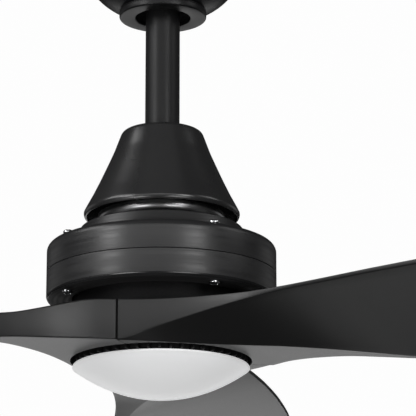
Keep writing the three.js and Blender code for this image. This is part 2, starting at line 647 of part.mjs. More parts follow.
{
  const shaft = ringOf(shaftRadius - shaftWall, shaftRadius, up(shaftBottom), yokeBase + yokeFloor - 3);
  piece('motor_shaft', shaft, zincSteel);

  const seat = bearingRadius + bearingFit;
  let hub = solid(turned([
    [seat, rotorBottom], [drumRadius, rotorBottom], [drumRadius, rotorFlange],
    [rotorRadius, rotorFlange], [rotorRadius, rotorTop], [rotorRadius - rotorWall, rotorTop],
    [rotorRadius - rotorWall, rotorFlange + rotorWall], [drumRadius - drumWall, rotorFlange + rotorWall],
    [drumRadius - drumWall, rotorBottom + drumWall], [seat + 7, rotorBottom + drumWall],
    [seat + 7, lowerBearing + bearingWidth + 1], [seat, lowerBearing + bearingWidth + 1],
  ], fine));
  const drillRadius = bladeScrew.shank + screwHoleFit;
  bladeScrewPlaces().forEach(([x, y]) => {
    hub = cut(hub, rodAlong('z', drillRadius, rotorBottom - 1, rotorBottom + drumWall + 1, 8)
      .translate(x, y, 0));
  });
  piece('rotor_hub', hub, darkAluminium, { z: up(0) });

  const cover = turned([
    [seat, rotorTop + gap], [rotorRadius, rotorTop + gap], [rotorRadius, rotorCoverTop],
    [seat + 6, rotorCoverTop], [seat + 6, rotorCoverTop + bearingWidth + 1],
    [seat, rotorCoverTop + bearingWidth + 1],
  ], fine);
  piece('rotor_cover', cover, castAluminium, { z: up(0) });

  for (const [name, height] of [['lower_bearing', lowerBearing], ['upper_bearing', rotorCoverTop]]) {
    const bearing = turned([
      [shaftRadius + bearingFit, 0], [bearingRadius - 5, 0], [bearingRadius - 4.2, 0.8],
      [bearingRadius - 2.8, 0.8], [bearingRadius - 2, 0], [bearingRadius, 0],
      [bearingRadius, bearingWidth], [shaftRadius + bearingFit, bearingWidth],
    ]);
    piece(name, bearing, chrome, { z: up(height) });
  }

  const magnetOuter = rotorRadius - rotorWall - gap;
  const magnetInner = magnetOuter - magnetThickness;
  piece('magnet_ring', ringOf(magnetInner, magnetOuter, statorBottom - 3, statorTop + 4, fine), magnet,
    { z: up(0) });

  const statorRadius = magnetInner - airGap;
  const outline = new THREE.Shape();
  const slotDepth = 14;
  const neckHalf = 6.5;
  const toothRoot = statorRadius - 4 - slotDepth;
  for (let i = 0; i < statorTeeth; i += 1) {
    const pitch = 360 / statorTeeth;
    const middle = (pitch * i) * degrees;
    const shoe = (pitch / 2 - 2) * degrees;
    const corner = (radius, half) => Math.asin(half / radius);
    const spots = [
      [toothRoot, -corner(toothRoot, neckHalf)], [statorRadius - 4, -corner(statorRadius - 4, neckHalf)],
      [statorRadius - 2, -shoe], [statorRadius, -shoe], [statorRadius, 0], [statorRadius, shoe],
      [statorRadius - 2, shoe], [statorRadius - 4, corner(statorRadius - 4, neckHalf)],
      [toothRoot, corner(toothRoot, neckHalf)],
    ];
    spots.forEach(([radius, turn], k) => {
      const x = radius * Math.cos(middle + turn);
      const y = radius * Math.sin(middle + turn);
      if (i === 0 && k === 0) outline.moveTo(x, y);
      else outline.lineTo(x, y);
    });
  }
  outline.closePath();
  const bore = new THREE.Path();
  bore.absarc(0, 0, statorInnerRadius, 0, 2 * Math.PI, true);
  outline.holes.push(bore);
  const core = new THREE.ExtrudeGeometry(outline,
    { depth: statorTop - statorBottom, bevelEnabled: false, curveSegments: 14 });
  piece('stator_core', core, laminations, { z: up(statorBottom) });

  const carrier = turned([
    [shaftHole, statorBottom - 5], [14, statorBottom - 5], [14, statorBottom + 2],
    [statorInnerRadius - gap, statorBottom + 2], [statorInnerRadius - gap, statorTop - 2],
    [14, statorTop - 2], [14, statorTop + 4], [shaftHole, statorTop + 4],
  ]);
  piece('stator_carrier', carrier, castAluminium, { z: up(0) });

  // One continuous winding: end turns above and below the core, joined by a bar in every slot.
  const endInner = toothRoot + 1;
  const endOuter = statorRadius - 5;
  let winding = solid(ringOf(endInner, endOuter, statorTop + gap, statorTop + gap + windingOverhang, fine));
  winding = join(winding,
    ringOf(endInner, endOuter, statorBottom - gap - windingOverhang, statorBottom - gap, fine));
  const slotHalf = (endInner + 2) * Math.sin(Math.PI / statorTeeth) - neckHalf;
  const half = slotHalf - slotRoom;
  for (let i = 0; i < statorTeeth; i += 1) {
    const turn = 360 / statorTeeth * (i + 0.5) * degrees;
    const bar = box(endInner + 2, endOuter - 2, -half, half, statorBottom - 2, statorTop + 2);
    winding = join(winding, bar.rotateZ(turn));
  }
  piece('stator_winding', winding, copper, { z: up(0) });
}

// ---------------------------------------------------------------- blades

function bladeScrewPlaces() {
  const places = [];
  for (let blade = 0; blade < bladeCount; blade += 1) {
    for (let i = 0; i < bladeScrewsPerBlade; i += 1) {
      const spread = bladeScrewSpread * (i / (bladeScrewsPerBlade - 1) - 0.5);
      const turn = (firstBladeTurn + 360 / bladeCount * blade + spread) * degrees;
      places.push([bladeScrewCircle * Math.cos(turn), bladeScrewCircle * Math.sin(turn)]);
    }
  }
  return places;
}

// Smooth value of one column of the section table at a share of the reach.
function sectionValue(share, column) {
  const rows = bladeSections;
  let i = 0;
  while (i < rows.length - 2 && share > rows[i + 1][0]) i += 1;
  const slope = (k) => {
    if (k <= 0 || k >= rows.length - 1) return null;
    return (rows[k + 1][column] - rows[k - 1][column]) / (rows[k + 1][0] - rows[k - 1][0]);
  };
  const width = rows[i + 1][0] - rows[i][0];
  const rise = rows[i + 1][column] - rows[i][column];
  const t = (share - rows[i][0]) / width;
  const m0 = (slope(i) ?? rise / width) * width;
  const m1 = (slope(i + 1) ?? rise / width) * width;
  const h = t * t * (3 - 2 * t);
  return rows[i][column] + h * rise + (t ** 3 - 2 * t * t + t) * m0 + (t ** 3 - t * t) * m1;
}

// Corners of the blade's section in order round it, as [y, z].
function bladeSection(share) {
  const width = recessRadius / sectionRecess;
  const value = (column) => sectionValue(share, column) * ([1, 4, 6].includes(column) ? width : 1);
  const lead = value(1);
  const trail = value(6);
  const topLead = value(3);
  const topTrail = value(8);
  const creaseY = Math.max(Math.min(value(4), trail - 1), lead + 0.5);
  const crown = bladeCrown * THREE.MathUtils.smoothstep(share, 0.2, 0.4);
  const top = (t) => [lead + (trail - lead) * t, topLead + (topTrail - topLead) * t
    + crown * 4 * t * (1 - t)];
  return [
    [trail, value(7)], [(trail + creaseY) / 2, (value(7) + value(5)) / 2], [creaseY, value(5)],
    [(creaseY + lead) / 2, (value(5) + value(2)) / 2], [lead, value(2)], [lead, topLead],
    top(0.2), top(0.4), top(0.6), top(0.8), [trail, topTrail],
  ];
}

function bladeLoft() {
  const corners = bladeSection(0).length;
  const rows = bladeStations + 2;
  const shareAt = (row) => {
    const t = (row - 1) / bladeStations;
    return t < 0.5 ? t * 0.72 : 0.36 + (t - 0.5) * 1.28;
  };
  const surface = (u, v, target) => {
    const row = Math.round(v * rows);
    const share = shareAt(Math.min(Math.max(row, 1), rows - 1));
    const section = bladeSection(share);
    if (row === 0 || row === rows) {
      const mean = (k) => section.reduce((sum, corner) => sum + corner[k], 0) / corners;
      target.set(share * bladeReach, mean(0), mean(1));
    } else {
      const [y, z] = section[Math.round(u * corners) % corners];
      target.set(share * bladeReach, y, z);
    }
  };
  return new ParametricGeometry(surface, corners, rows);
}

{
  const half = 180 / bladeCount;
  const wedge = new THREE.Shape();
  const far = 2 * bladeReach;
  const offset = seamGap / 2 / Math.sin(half * degrees);
  wedge.moveTo(offset, 0);
  wedge.lineTo(offset + far * Math.cos(half * degrees), -far * Math.sin(half * degrees));
  wedge.lineTo(offset + far, 0);
  wedge.lineTo(offset + far * Math.cos(half * degrees), far * Math.sin(half * degrees));
  wedge.closePath();
  const wedgeBody = new THREE.ExtrudeGeometry(wedge, { depth: 200, bevelEnabled: false });
  const wedgeSolid = solid(wedgeBody.translate(0, 0, -100));

  let blade = solid(bladeLoft().rotateZ(bladeSweep * degrees));
  blade = blade.intersect(wedgeSolid);
  blade = cut(blade, rodAlong('z', recessRadius, -50, 60, 2 * fine));

  const tabTurn = half - 2;
  const tab = new THREE.Shape();
  tab.absarc(0, 0, recessRadius + 1.5, -tabTurn * degrees, tabTurn * degrees, false);
  tab.absarc(0, 0, tabInnerRadius, tabTurn * degrees, -tabTurn * degrees, true);
  tab.closePath();
  const tabBody = new THREE.ExtrudeGeometry(tab,
    { depth: tabSheet, bevelEnabled: false, curveSegments: 14 });
  blade = join(blade, tabBody.translate(0, 0, rootTop - tabSheet));
  blade = cut(blade, box(-hubRadius, hubRadius, -hubRadius, hubRadius, rootTop, 2 * rootTop));
  for (let i = 0; i < bladeScrewsPerBlade; i += 1) {
    const turn = bladeScrewSpread * (i / (bladeScrewsPerBlade - 1) - 0.5) * degrees;
    const x = bladeScrewCircle * Math.cos(turn);
    const y = bladeScrewCircle * Math.sin(turn);
    blade = cut(blade,
      rodAlong('z', bladeScrew.shank + screwHoleFit, 0, 2 * rootTop, 12).translate(x, y, 0));
  }
  for (let i = 0; i < bladeCount; i += 1) {
    const turnZ = (firstBladeTurn + 360 / bladeCount * i) * degrees;
    piece(`blade_${i + 1}`, blade, bladePlastic, { z: up(0), turnZ });
  }
  bladeScrewPlaces().forEach(([x, y], i) => {
    const place = { x, y, z: up(rootTop - tabSheet) - gap, turnX: Math.PI };
    piece(`blade_screw_${i + 1}`, screw(bladeScrew), zincSteel, place);
  });
}

// ---------------------------------------------------------------- light

const lensRadius = recessRadius - lensInset;
const lensNeckRadius = lensRadius - lensNeckInset;
const carrierRadius = recessRadius - carrierInset;
const boardRadius = lensNeckRadius - boardInset;
const traySupportCircle = boardRadius;

{
  const plate = ringOf(shaftHole, carrierRadius, sinkPlateTop + gap, carrierTop, fine);
  piece('lamp_carrier', plate, zincSteel, { z: up(0) });

  const nut = rodAlong('z', 11, sinkPlateTop - nutHeight, sinkPlateTop, 6);
  const nutBody = cut(solid(nut), rodAlong('z', shaftHole, 0, 2 * sinkPlateTop, 20));
  piece('shaft_nut', nutBody, zincSteel, { z: up(0) });
}

const finRadius = recessRadius - finInset;
const traySupports = [90, 210, 330].map((turn) => [
  traySupportCircle * Math.cos(turn * degrees), traySupportCircle * Math.sin(turn * degrees),
]);
{
  let sink = solid(ringOf(16, finRadius, sinkPlateBottom, sinkPlateTop, fine));
  const skirtInner = lensNeckRadius + lensTurnGap;
  sink = join(sink, ringOf(skirtInner, skirtInner + skirtWall, skirtBottom, sinkPlateBottom + 1, 2 * fine));
  for (let i = 0; i < finCount; i += 1) {
    const fin = box(skirtInner + skirtWall / 2, finRadius, -finSheet / 2, finSheet / 2,
      finBottom, sinkPlateBottom + 1);
    sink = join(sink, fin.translate(-0.3, 0, 0).rotateZ(360 / finCount * i * degrees));
  }
  for (const [x, y] of traySupports) {
    const post = rodAlong('z', traySupportRadius, trayTop + gap, sinkPlateBottom + 1, 12);
    sink = join(sink, post.translate(x, y, 0));
    const hole = trayScrew.shank + screwHoleFit;
    sink = cut(sink, rodAlong('z', hole, trayTop - 1, trayTop + 8, 10).translate(x, y, 0));
  }
  piece('heat_sink', sink, darkAluminium, { z: up(0) });
}

const driverHeight = shaftBottom - gap - trayTop - gap;
{
  const corner = new THREE.Shape();
  const halfLength = traySupportCircle - driverInset;
  const halfWidth = 17;
  const chamfer = 4;
  corner.moveTo(-halfLength + chamfer, -halfWidth);
  corner.lineTo(halfLength - chamfer, -halfWidth);
  corner.lineTo(halfLength, -halfWidth + chamfer);
  corner.lineTo(halfLength, halfWidth - chamfer);
  corner.lineTo(halfLength - chamfer, halfWidth);
  corner.lineTo(-halfLength + chamfer, halfWidth);
  corner.lineTo(-halfLength, halfWidth - chamfer);
  corner.lineTo(-halfLength, -halfWidth + chamfer);
  corner.closePath();
  const driver = new THREE.ExtrudeGeometry(corner, { depth: driverHeight, bevelEnabled: false });
  piece('light_driver', driver, nylon, { z: up(trayTop + gap) });
}

// Sector of a ring, centred on +X, for the bayonet tabs.
function sector(inner, outer, angle, bottom, top) {
  const half = angle / 2 * degrees;
  const shape = new THREE.Shape();
  shape.absarc(0, 0, outer, -half, half, false);
  shape.absarc(0, 0, inner, half, -half, true);
  shape.closePath();
  const body = new THREE.ExtrudeGeometry(shape,
    { depth: top - bottom, bevelEnabled: false, curveSegments: 5 });
  return body.translate(0, 0, bottom);
}

const neckWall = 2;
const neckInner = lensNeckRadius - neckWall;
const trayRadius = neckInner - 4.5;
const trayTabRadius = neckInner - 1;
{
  const hole = trayScrew.shank + screwHoleFit;
  let tray = solid(rodAlong('z', trayRadius, trayTop - traySheet, trayTop, fine));
  for (let i = 0; i < 3; i += 1) {
    tray = join(tray, sector(trayRadius - 2, trayTabRadius, lensTabAngle, trayTop - traySheet, trayTop)
      .rotateZ(120 * i * degrees));
  }
  const boardTop = trayTop - traySheet - gap;
  const boardBottom = boardTop - boardSheet;
  let board = solid(rodAlong('z', boardRadius, boardBottom, boardTop, fine));
  for (const [inset, count] of ledRows) {
    const radius = boardRadius - inset;
    for (let i = 0; i < count; i += 1) {
      const led = box(radius - 1.5, radius + 1.5, -1.5, 1.5, boardBottom - 0.6, boardTop - 0.5);
      board = join(board, led.rotateZ(360 * (i + 0.5) / count * degrees));
    }
  }
  traySupports.forEach(([x, y], i) => {
    tray = cut(tray, rodAlong('z', hole, -20, 20, 10).translate(x, y, 0));
    const notch = rodAlong('z', trayScrew.head + 2 * gap, -20, 20, 14);
    board = cut(board, notch.translate(x, y, 0));
    const place = { x, y, z: up(trayTop - traySheet) - gap, turnX: Math.PI };
    piece(`tray_screw_${i + 1}`, screw(trayScrew), zincSteel, place);
  });
  piece('lamp_tray', tray, zincSteel, { z: up(0) });
  piece('led_board', board, whiteBoard, { z: up(0) });
}

{
  const domeHeight = lensRim - lensBottom;
  const dome = (radius, inset) => {
    const share = radius / (lensRadius - inset);
    return lensBottom + inset + domeHeight * share ** 2.08;
  };
  const outerDome = [0, 0.25, 0.45, 0.63, 0.78, 0.9].map((t) => {
    const radius = lensRadius * t;
    return [radius, dome(radius, 0)];
  });
  const innerRadius = lensRadius - lensWall;
  const innerDome = [0.88, 0.7, 0.45, 0].map((t) => {
    const radius = innerRadius * t;
    return [radius, dome(radius, lensWall)];
  });
  let lens = solid(turned([
    ...outerDome, [lensRadius, lensRim], [lensRadius - 0.4, lensTop + 0.6], [lensRadius - 1.2, lensTop],
    [lensNeckRadius, lensTop], [lensNeckRadius, lensNeckTop], [neckInner, lensNeckTop],
    [neckInner, lensTop - lensWall], [innerRadius - 2, lensTop - lensWall], ...innerDome,
  ], fine));
  for (let i = 0; i < 3; i += 1) {
    const tab = sector(trayRadius + 1, neckInner + 1, lensTabAngle, trayTop + gap, lensNeckTop);
    lens = join(lens, tab.rotateZ(120 * i * degrees));
  }
  piece('opal_lens', lens, opalPlastic, { z: up(0) });
}

export default group;
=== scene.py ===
"""Looks of a three-blade ceiling fan with a round LED light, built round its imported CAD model.

Metres, +Z up, with the origin on the ceiling at the centre of the bracket. The sections follow the
fan from the ceiling down: bracket, canopy, rod, coupling and its cone, motor, rotor, blades, light.
"""

import math

import bmesh
import bpy
import numpy as np
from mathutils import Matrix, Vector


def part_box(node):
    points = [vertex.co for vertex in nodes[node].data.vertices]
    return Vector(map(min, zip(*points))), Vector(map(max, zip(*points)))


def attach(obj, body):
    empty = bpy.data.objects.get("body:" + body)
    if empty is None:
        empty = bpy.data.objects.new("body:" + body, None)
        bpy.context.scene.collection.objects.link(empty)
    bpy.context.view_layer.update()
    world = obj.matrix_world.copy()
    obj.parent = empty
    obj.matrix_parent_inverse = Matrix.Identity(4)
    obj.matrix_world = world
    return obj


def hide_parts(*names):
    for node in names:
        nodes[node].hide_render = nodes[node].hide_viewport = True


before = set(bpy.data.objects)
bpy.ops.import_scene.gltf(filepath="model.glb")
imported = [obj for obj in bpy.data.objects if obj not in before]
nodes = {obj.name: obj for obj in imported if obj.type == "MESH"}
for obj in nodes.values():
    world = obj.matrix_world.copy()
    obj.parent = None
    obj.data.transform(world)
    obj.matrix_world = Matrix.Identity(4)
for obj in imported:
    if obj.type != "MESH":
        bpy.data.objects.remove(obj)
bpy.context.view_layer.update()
MM = 0.001


# ------------------------------------------------------------------ ceiling bracket
# A folded zinc-plated steel saddle, screwed to the ceiling through two slots. Its floor holds the
# ball that the fan hangs from. The sheet's edges are slightly rounded by the press.

def shader(name, colour, roughness, metallic=0.0):
    """A Principled material, with its node tree, shader and object coordinates."""
    material = bpy.data.materials.new(name)
    material.use_nodes = True
    tree = material.node_tree
    principled = tree.nodes["Principled BSDF"]
    principled.inputs["Base Color"].default_value = (*colour, 1)
    principled.inputs["Roughness"].default_value = roughness
    principled.inputs["Metallic"].default_value = metallic
    where = tree.nodes.new("ShaderNodeTexCoord")
    return material, tree, principled, where.outputs["Object"]


def noise(tree, place, per_metre, detail=3.0, stretch=(1, 1, 1)):
    """Noise of a frequency per metre along X, Y and Z, times the stretch of each axis."""
    mapping = tree.nodes.new("ShaderNodeMapping")
    mapping.inputs["Scale"].default_value = [per_metre * s for s in stretch]
    texture = tree.nodes.new("ShaderNodeTexNoise")
    texture.inputs["Scale"].default_value = 1.0
    texture.inputs["Detail"].default_value = detail
    tree.links.new(place, mapping.inputs["Vector"])
    tree.links.new(mapping.outputs["Vector"], texture.inputs["Vector"])
    return texture.outputs["Fac"]


def spread(tree, value, low, high, start=0.3, end=0.7):
    """The value's range start to end carried over to the range low to high."""
    ranged = tree.nodes.new("ShaderNodeMapRange")
    ranged.inputs["From Min"].default_value = start
    ranged.inputs["From Max"].default_value = end
    ranged.inputs["To Min"].default_value = low
    ranged.inputs["To Max"].default_value = high
    tree.links.new(value, ranged.inputs["Value"])
    return ranged.outputs["Result"]


def tint(tree, principled, value, dark, light):
    """Base colour between two shades, chosen by the value from 0 to 1."""
    mix = tree.nodes.new("ShaderNodeMix")
    mix.data_type = "RGBA"
    mix.inputs[6].default_value = (*dark, 1)
    mix.inputs[7].default_value = (*light, 1)
    tree.links.new(value, mix.inputs[0])
    tree.links.new(mix.outputs[2], principled.inputs["Base Color"])


def relief(tree, principled, height, depth):
    """Bump whose height runs from 0 to depth, in metres."""
    bump = tree.nodes.new("ShaderNodeBump")
    bump.inputs["Strength"].default_value = 1.0
    bump.inputs["Distance"].default_value = depth
    tree.links.new(height, bump.inputs["Height"])
    tree.links.new(bump.outputs["Normal"], principled.inputs["Normal"])


def zinc_plated():
    """Plated sheet steel: grey, softly mottled, with fine rolling marks along X."""
    material, tree, principled, place = shader("zinc_plated", (0.55, 0.56, 0.58), 0.38, 1.0)
    mottle = spread(tree, noise(tree, place, 90, 4), 0, 1)
    tint(tree, principled, mottle, (0.44, 0.45, 0.47), (0.66, 0.67, 0.69))
    marks = noise(tree, place, 400, 2, (0.08, 1, 1))
    tree.links.new(spread(tree, marks, 0.28, 0.5), principled.inputs["Roughness"])
    relief(tree, principled, marks, 0.00002)
    return material


def dress(piece, material):
    """Gives a piece its one material."""
    piece.data.materials.clear()
    piece.data.materials.append(material)


def softened(node, material, edge=0.3, body="ceiling_mount"):
    """A copy of a CAD node with flat faces made whole and its sharp edges rounded by edge mm."""
    mesh = nodes[node].data.copy()
    work = bmesh.new()
    work.from_mesh(mesh)
    bmesh.ops.remove_doubles(work, verts=work.verts, dist=1e-6)
    bmesh.ops.dissolve_limit(work, angle_limit=math.radians(1), verts=work.verts, edges=work.edges)
    work.to_mesh(mesh)
    work.free()
    piece = bpy.data.objects.new(node + "_shape", mesh)
    bpy.context.scene.collection.objects.link(piece)
    mesh.shade_smooth()
    mesh.set_sharp_from_angle(angle=math.radians(32))
    bevel = piece.modifiers.new("rounded_edges", "BEVEL")
    bevel.width = edge * MM
    bevel.segments = 2
    bevel.limit_method = "ANGLE"
    bevel.angle_limit = math.radians(40)
    bevel.harden_normals = True
    dress(piece, material)
    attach(piece, body)
    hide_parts(node)
    return piece


ZINC = zinc_plated()
softened("ceiling_bracket", ZINC, 0.5)


# ------------------------------------------------------------------ ball hanger
# A grey moulded ball, gripped to the rod by a steel pin and a set screw. It sits in a nylon ring in
# the bracket's floor and lets the fan hang plumb.

def moulded(name, dark, light, roughness, grain=2200, depth=0.00002):
    """Moulded plastic: two close shades in soft clouds, and a fine grain."""
    material, tree, principled, place = shader(name, light, roughness)
    tint(tree, principled, spread(tree, noise(tree, place, 35, 3), 0, 1), dark, light)
    grains = noise(tree, place, grain, 2)
    rough = spread(tree, grains, roughness - 0.06, roughness + 0.08)
    tree.links.new(rough, principled.inputs["Roughness"])
    relief(tree, principled, grains, depth)
    return material


GREY_PLASTIC = moulded("grey_moulding", (0.075, 0.078, 0.082), (0.105, 0.108, 0.113), 0.5)
NYLON = moulded("natural_nylon", (0.62, 0.59, 0.50), (0.74, 0.71, 0.62), 0.45)


def on_profile(line, count):
    """Points of a line in radius and height, turned about Z: (r cos a, r sin a, z) for each angle a."""
    turn = np.linspace(0, 2 * np.pi, count, endpoint=False)
    radius, height = line[:, :1], line[:, 1:]
    flat = np.ones_like(turn)
    return np.stack([radius * np.cos(turn), radius * np.sin(turn), height * flat], -1)


def outline(corners, steps=5):
    """Closed outline through corners (radius, height, rounding), in millimetres.

    Each corner becomes the arc of its rounding that touches both its sides: a rational quadratic
    curve whose middle weight is the sine of half the inside angle. With no rounding it stays a point.
    """
    table = np.array([(*c, 0)[:3] for c in corners], float)
    here = table[:, :2]
    back = np.roll(here, 1, 0) - here
    on = np.roll(here, -1, 0) - here
    back_length = np.linalg.norm(back, axis=1)
    on_length = np.linalg.norm(on, axis=1)
    back = back / back_length[:, None]
    on = on / on_length[:, None]
    half = np.arccos(np.clip((back * on).sum(1), -1, 1)) / 2
    reach = np.minimum(table[:, 2] / np.tan(half).clip(1e-6), 0.45 * np.minimum(back_length, on_length))
    start = here + back * reach[:, None]
    end = here + on * reach[:, None]
    t = np.linspace(0, 1, steps + 1)[None, :, None]
    weight = np.sin(half)[:, None, None] * 2 * t * (1 - t)
    first = (1 - t) ** 2
    last = t ** 2
    arc = first * start[:, None] + weight * here[:, None] + last * end[:, None]
    points = (arc / (first + weight + last)).reshape(-1, 2)
    apart = np.linalg.norm(points - np.roll(points, 1, 0), axis=1) > 1e-4
    return points[apart] * MM


def piece_from(name, points, faces, smooth_angle=32):
    """Mesh object of the points and faces, its faces turned outward by the sign of its volume."""
    mesh = bpy.data.meshes.new(name)
    mesh.from_pydata(np.asarray(points, float).reshape(-1, 3).tolist(), [], faces)
    work = bmesh.new()
    work.from_mesh(mesh)
    if work.calc_volume(signed=True) < 0:
        bmesh.ops.reverse_faces(work, faces=work.faces)
    work.to_mesh(mesh)
    work.free()
    mesh.shade_smooth()
    mesh.set_sharp_from_angle(angle=math.radians(smooth_angle))
    piece = bpy.data.objects.new(name, mesh)
    bpy.context.scene.collection.objects.link(piece)
    return piece


def grid_faces(rows, columns, wrap_rows, first=0):
    """Four-sided faces of a grid of points that closes along its columns, and its rows if asked."""
    row = np.arange(rows if wrap_rows else rows - 1)[:, None]
    column = np.arange(columns)[None, :]
    below = (row + 1) % rows
    beside = (column + 1) % columns
    corners = [row * columns + column, row * columns + beside,
               below * columns + beside, below * columns + column]
    return (np.stack(corners, -1).reshape(-1, 4) + first).tolist()


def turned(name, line, material, body, replaced, count=160, smooth_angle=32):
    """Round piece from a closed line in radius and height, riding on a body for a CAD node."""
    piece = piece_from(name, on_profile(line, count), grid_faces(len(line), count, True), smooth_angle)
    dress(piece, material)
    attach(piece, body)
    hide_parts(replaced)
    return piece


BALL_DEPTH = 30
FLANGE_DEPTH = 11.7
LINER_RADIUS = 21.6
seat_low, seat_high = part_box("ball_seat")
seat_outer = seat_high.x / MM
turned("ball_seat_shape", outline([
    (22.6, seat_high.z / MM, 0.4), (seat_outer, seat_high.z / MM, 0.6),
    (seat_outer, -BALL_DEPTH - FLANGE_DEPTH, 0.3), (LINER_RADIUS, -BALL_DEPTH - FLANGE_DEPTH, 0.2),
    (LINER_RADIUS, seat_low.z / MM, 0.5), (19.6, seat_low.z / MM, 0.4), (21.2, -BALL_DEPTH - 12.2),
]), NYLON, "ceiling_mount", "ball_seat", 96)

ball_angles = np.radians(np.linspace(-55, 38.7, 40))
BALL_RADIUS = 24
BALL_BORE = 13.9
BALL_TOP = 15
ball_line = [(BALL_RADIUS * math.cos(a), BALL_RADIUS * math.sin(a) - BALL_DEPTH) for a in ball_angles]
turned("hanger_ball_shape", outline(
    ball_line + [(BALL_BORE, BALL_TOP - BALL_DEPTH, 0.8), (BALL_BORE, ball_line[0][1], 0.4)],
), GREY_PLASTIC, "hanging_frame", "hanger_ball", 96)
for node in ("hanger_pin", "ball_set_screw"):
    softened(node, ZINC, 0.4, "hanging_frame")


# ------------------------------------------------------------------ canopy and its trim ring
# A pressed steel bowl in satin black powder coat, held to the bracket by two screws near the
# ceiling. A shallow pressed ring closes its lower hole round the rod, with room for the rod to sway.

def powder_coat(name, shade, roughness, shine):
    """Satin black coat: a faint orange-peel skin, fine speckle, and slow changes of gloss."""
    light = [c * 1.25 for c in shade]
    material, tree, principled, place = shader(name, shade, roughness)
    tint(tree, principled, spread(tree, noise(tree, place, 1500, 1), 0, 1), shade, light)
    gloss = noise(tree, place, 14, 3)
    tree.links.new(spread(tree, gloss, roughness - 0.03, roughness + 0.05), principled.inputs["Roughness"])
    relief(tree, principled, noise(tree, place, 700, 2), 0.000012)
    principled.inputs["Specular IOR Level"].default_value = shine
    return material


BLACK_COAT = powder_coat("canopy_coat", (0.009, 0.009, 0.0095), 0.36, 0.28)

CANOPY_WALL = 1.5
CANOPY_MOUTH = 65
CANOPY_TOP = -1
CANOPY_HOLE = 30
BOWL_REACH = 69
BOWL_HEIGHT = 42
BOWL_SHIFT = 7
BOWL_TOP = -23


def bowl_line(inset):
    """The canopy's bowl: part of an ellipse centred past the axis, pulled in by the inset."""
    reach, height = BOWL_REACH - inset, BOWL_HEIGHT - inset
    low = np.arccos((CANOPY_HOLE + BOWL_SHIFT) / reach)
    angle = np.linspace(0, low, 36)
    return [(reach * math.cos(a) - BOWL_SHIFT, BOWL_TOP - height * math.sin(a)) for a in angle]


turned("canopy_shape", outline(
    [(CANOPY_MOUTH, CANOPY_TOP, 0.5), *bowl_line(0), *bowl_line(CANOPY_WALL)[::-1],
     (CANOPY_MOUTH - CANOPY_WALL, CANOPY_TOP, 0.5)],
), BLACK_COAT, "ceiling_mount", "canopy", 192)

trim_low, trim_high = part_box("canopy_trim_ring")
floor, brim = trim_low.z / MM, trim_high.z / MM
TRIM_HOLE = 21.85
TRIM_RADIUS = 34.7
TRIM_GROOVE = TRIM_RADIUS - 0.35
TRIM_WALL = 2.5
turned("canopy_trim_ring_shape", outline([
    (TRIM_HOLE, floor, 0.8), (TRIM_RADIUS, floor, 1.3), (TRIM_RADIUS, brim - 1.5, 0.15),
    (TRIM_GROOVE, brim - 1.3, 0.1), (TRIM_GROOVE, brim - 0.9, 0.1), (TRIM_RADIUS, brim - 0.7, 0.15),
    (TRIM_RADIUS, brim, 0.4), (TRIM_RADIUS - TRIM_WALL, brim, 0.3),
    (TRIM_RADIUS - TRIM_WALL, floor + TRIM_WALL, 0.6), (TRIM_HOLE, floor + TRIM_WALL, 0.6),
]), BLACK_COAT, "ceiling_mount", "canopy_trim_ring", 192)


# ------------------------------------------------------------------ pan-head screws
# Machine screws with a domed pan head and a pressed cross recess. Those of the motor housing are
# bright chrome, those of the canopy are black.

def bright_chrome():
    """Polished plating with the faintest wiping haze."""
    material, tree, principled, place = shader("bright_chrome", (0.82, 0.83, 0.85), 0.1, 1.0)
    haze = noise(tree, place, 600, 3)
    tree.links.new(spread(tree, haze, 0.06, 0.2), principled.inputs["Roughness"])
    return material


CHROME = bright_chrome()


def pan_screw(node, head, head_height, shank, length, seat, out, material, body):
    """A screw seated at a point, its head standing out along a direction.

    The head is a polar grid. Its height is a dome that falls off with the fourth power of the
    radius, less a cross recess whose depth fades over a narrow band at the edge of each arm.
    """
    out = np.array(out, float)
    side = np.cross(out, [0.0, 0.0, 1.0] if abs(out[2]) < 0.9 else [1.0, 0.0, 0.0])
    side = side / np.linalg.norm(side)
    across = np.cross(out, side)
    count = 72
    turn = np.linspace(0, 2 * np.pi, count, endpoint=False)
    share = np.linspace(1, 0.03, 26)[:, None]
    x = head * share * np.cos(turn)
    y = head * share * np.sin(turn)
    dome = head_height * (0.45 + 0.55 * (1 - share ** 4)) * np.ones_like(turn)
    narrow = np.minimum(abs(x), abs(y)) / (0.14 * head)
    far = np.maximum(abs(x), abs(y)) / (0.55 * head)
    in_arm = np.clip((1.35 - np.maximum(narrow, far)) / 0.35, 0, 1)
    top = dome - 0.5 * head_height * in_arm ** 0.7
    rim = [(0.02, -length), (shank - 0.2, -length), (shank, -length + 0.25), (shank, -0.02),
           (head - 0.1, 0), (head, 0.12 * head_height)]
    rim = np.array(rim)[:, :, None]
    x = np.concatenate([rim[:, 0] * np.cos(turn), x])
    y = np.concatenate([rim[:, 0] * np.sin(turn), y])
    z = np.concatenate([rim[:, 1] * np.ones_like(turn), top])
    points = np.array(seat)[None, None] + (x[..., None] * side + y[..., None] * across
                                           + z[..., None] * out) * MM
    rows = len(points)
    faces = grid_faces(rows, count, False)
    faces.append(list(range(count))[::-1])
    faces.append(list(range((rows - 1) * count, rows * count)))
    piece = piece_from(node + "_shape", points, faces, 40)
    dress(piece, material)
    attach(piece, body)
    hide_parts(node)


SCREW_SHANK = 2
CANOPY_HEAD = 4
CANOPY_HEAD_HEIGHT = 2.4
for side in (1, 2):
    low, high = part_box(f"canopy_screw_{side}")
    sign = 1 if high.y > 0 else -1
    tip = abs(high.y if sign > 0 else low.y)
    seat = (0, sign * (tip - CANOPY_HEAD_HEIGHT * MM), (low.z + high.z) / 2)
    pan_screw(f"canopy_screw_{side}", CANOPY_HEAD, CANOPY_HEAD_HEIGHT, SCREW_SHANK, 8, seat,
              (0, sign, 0), BLACK_COAT, "ceiling_mount")


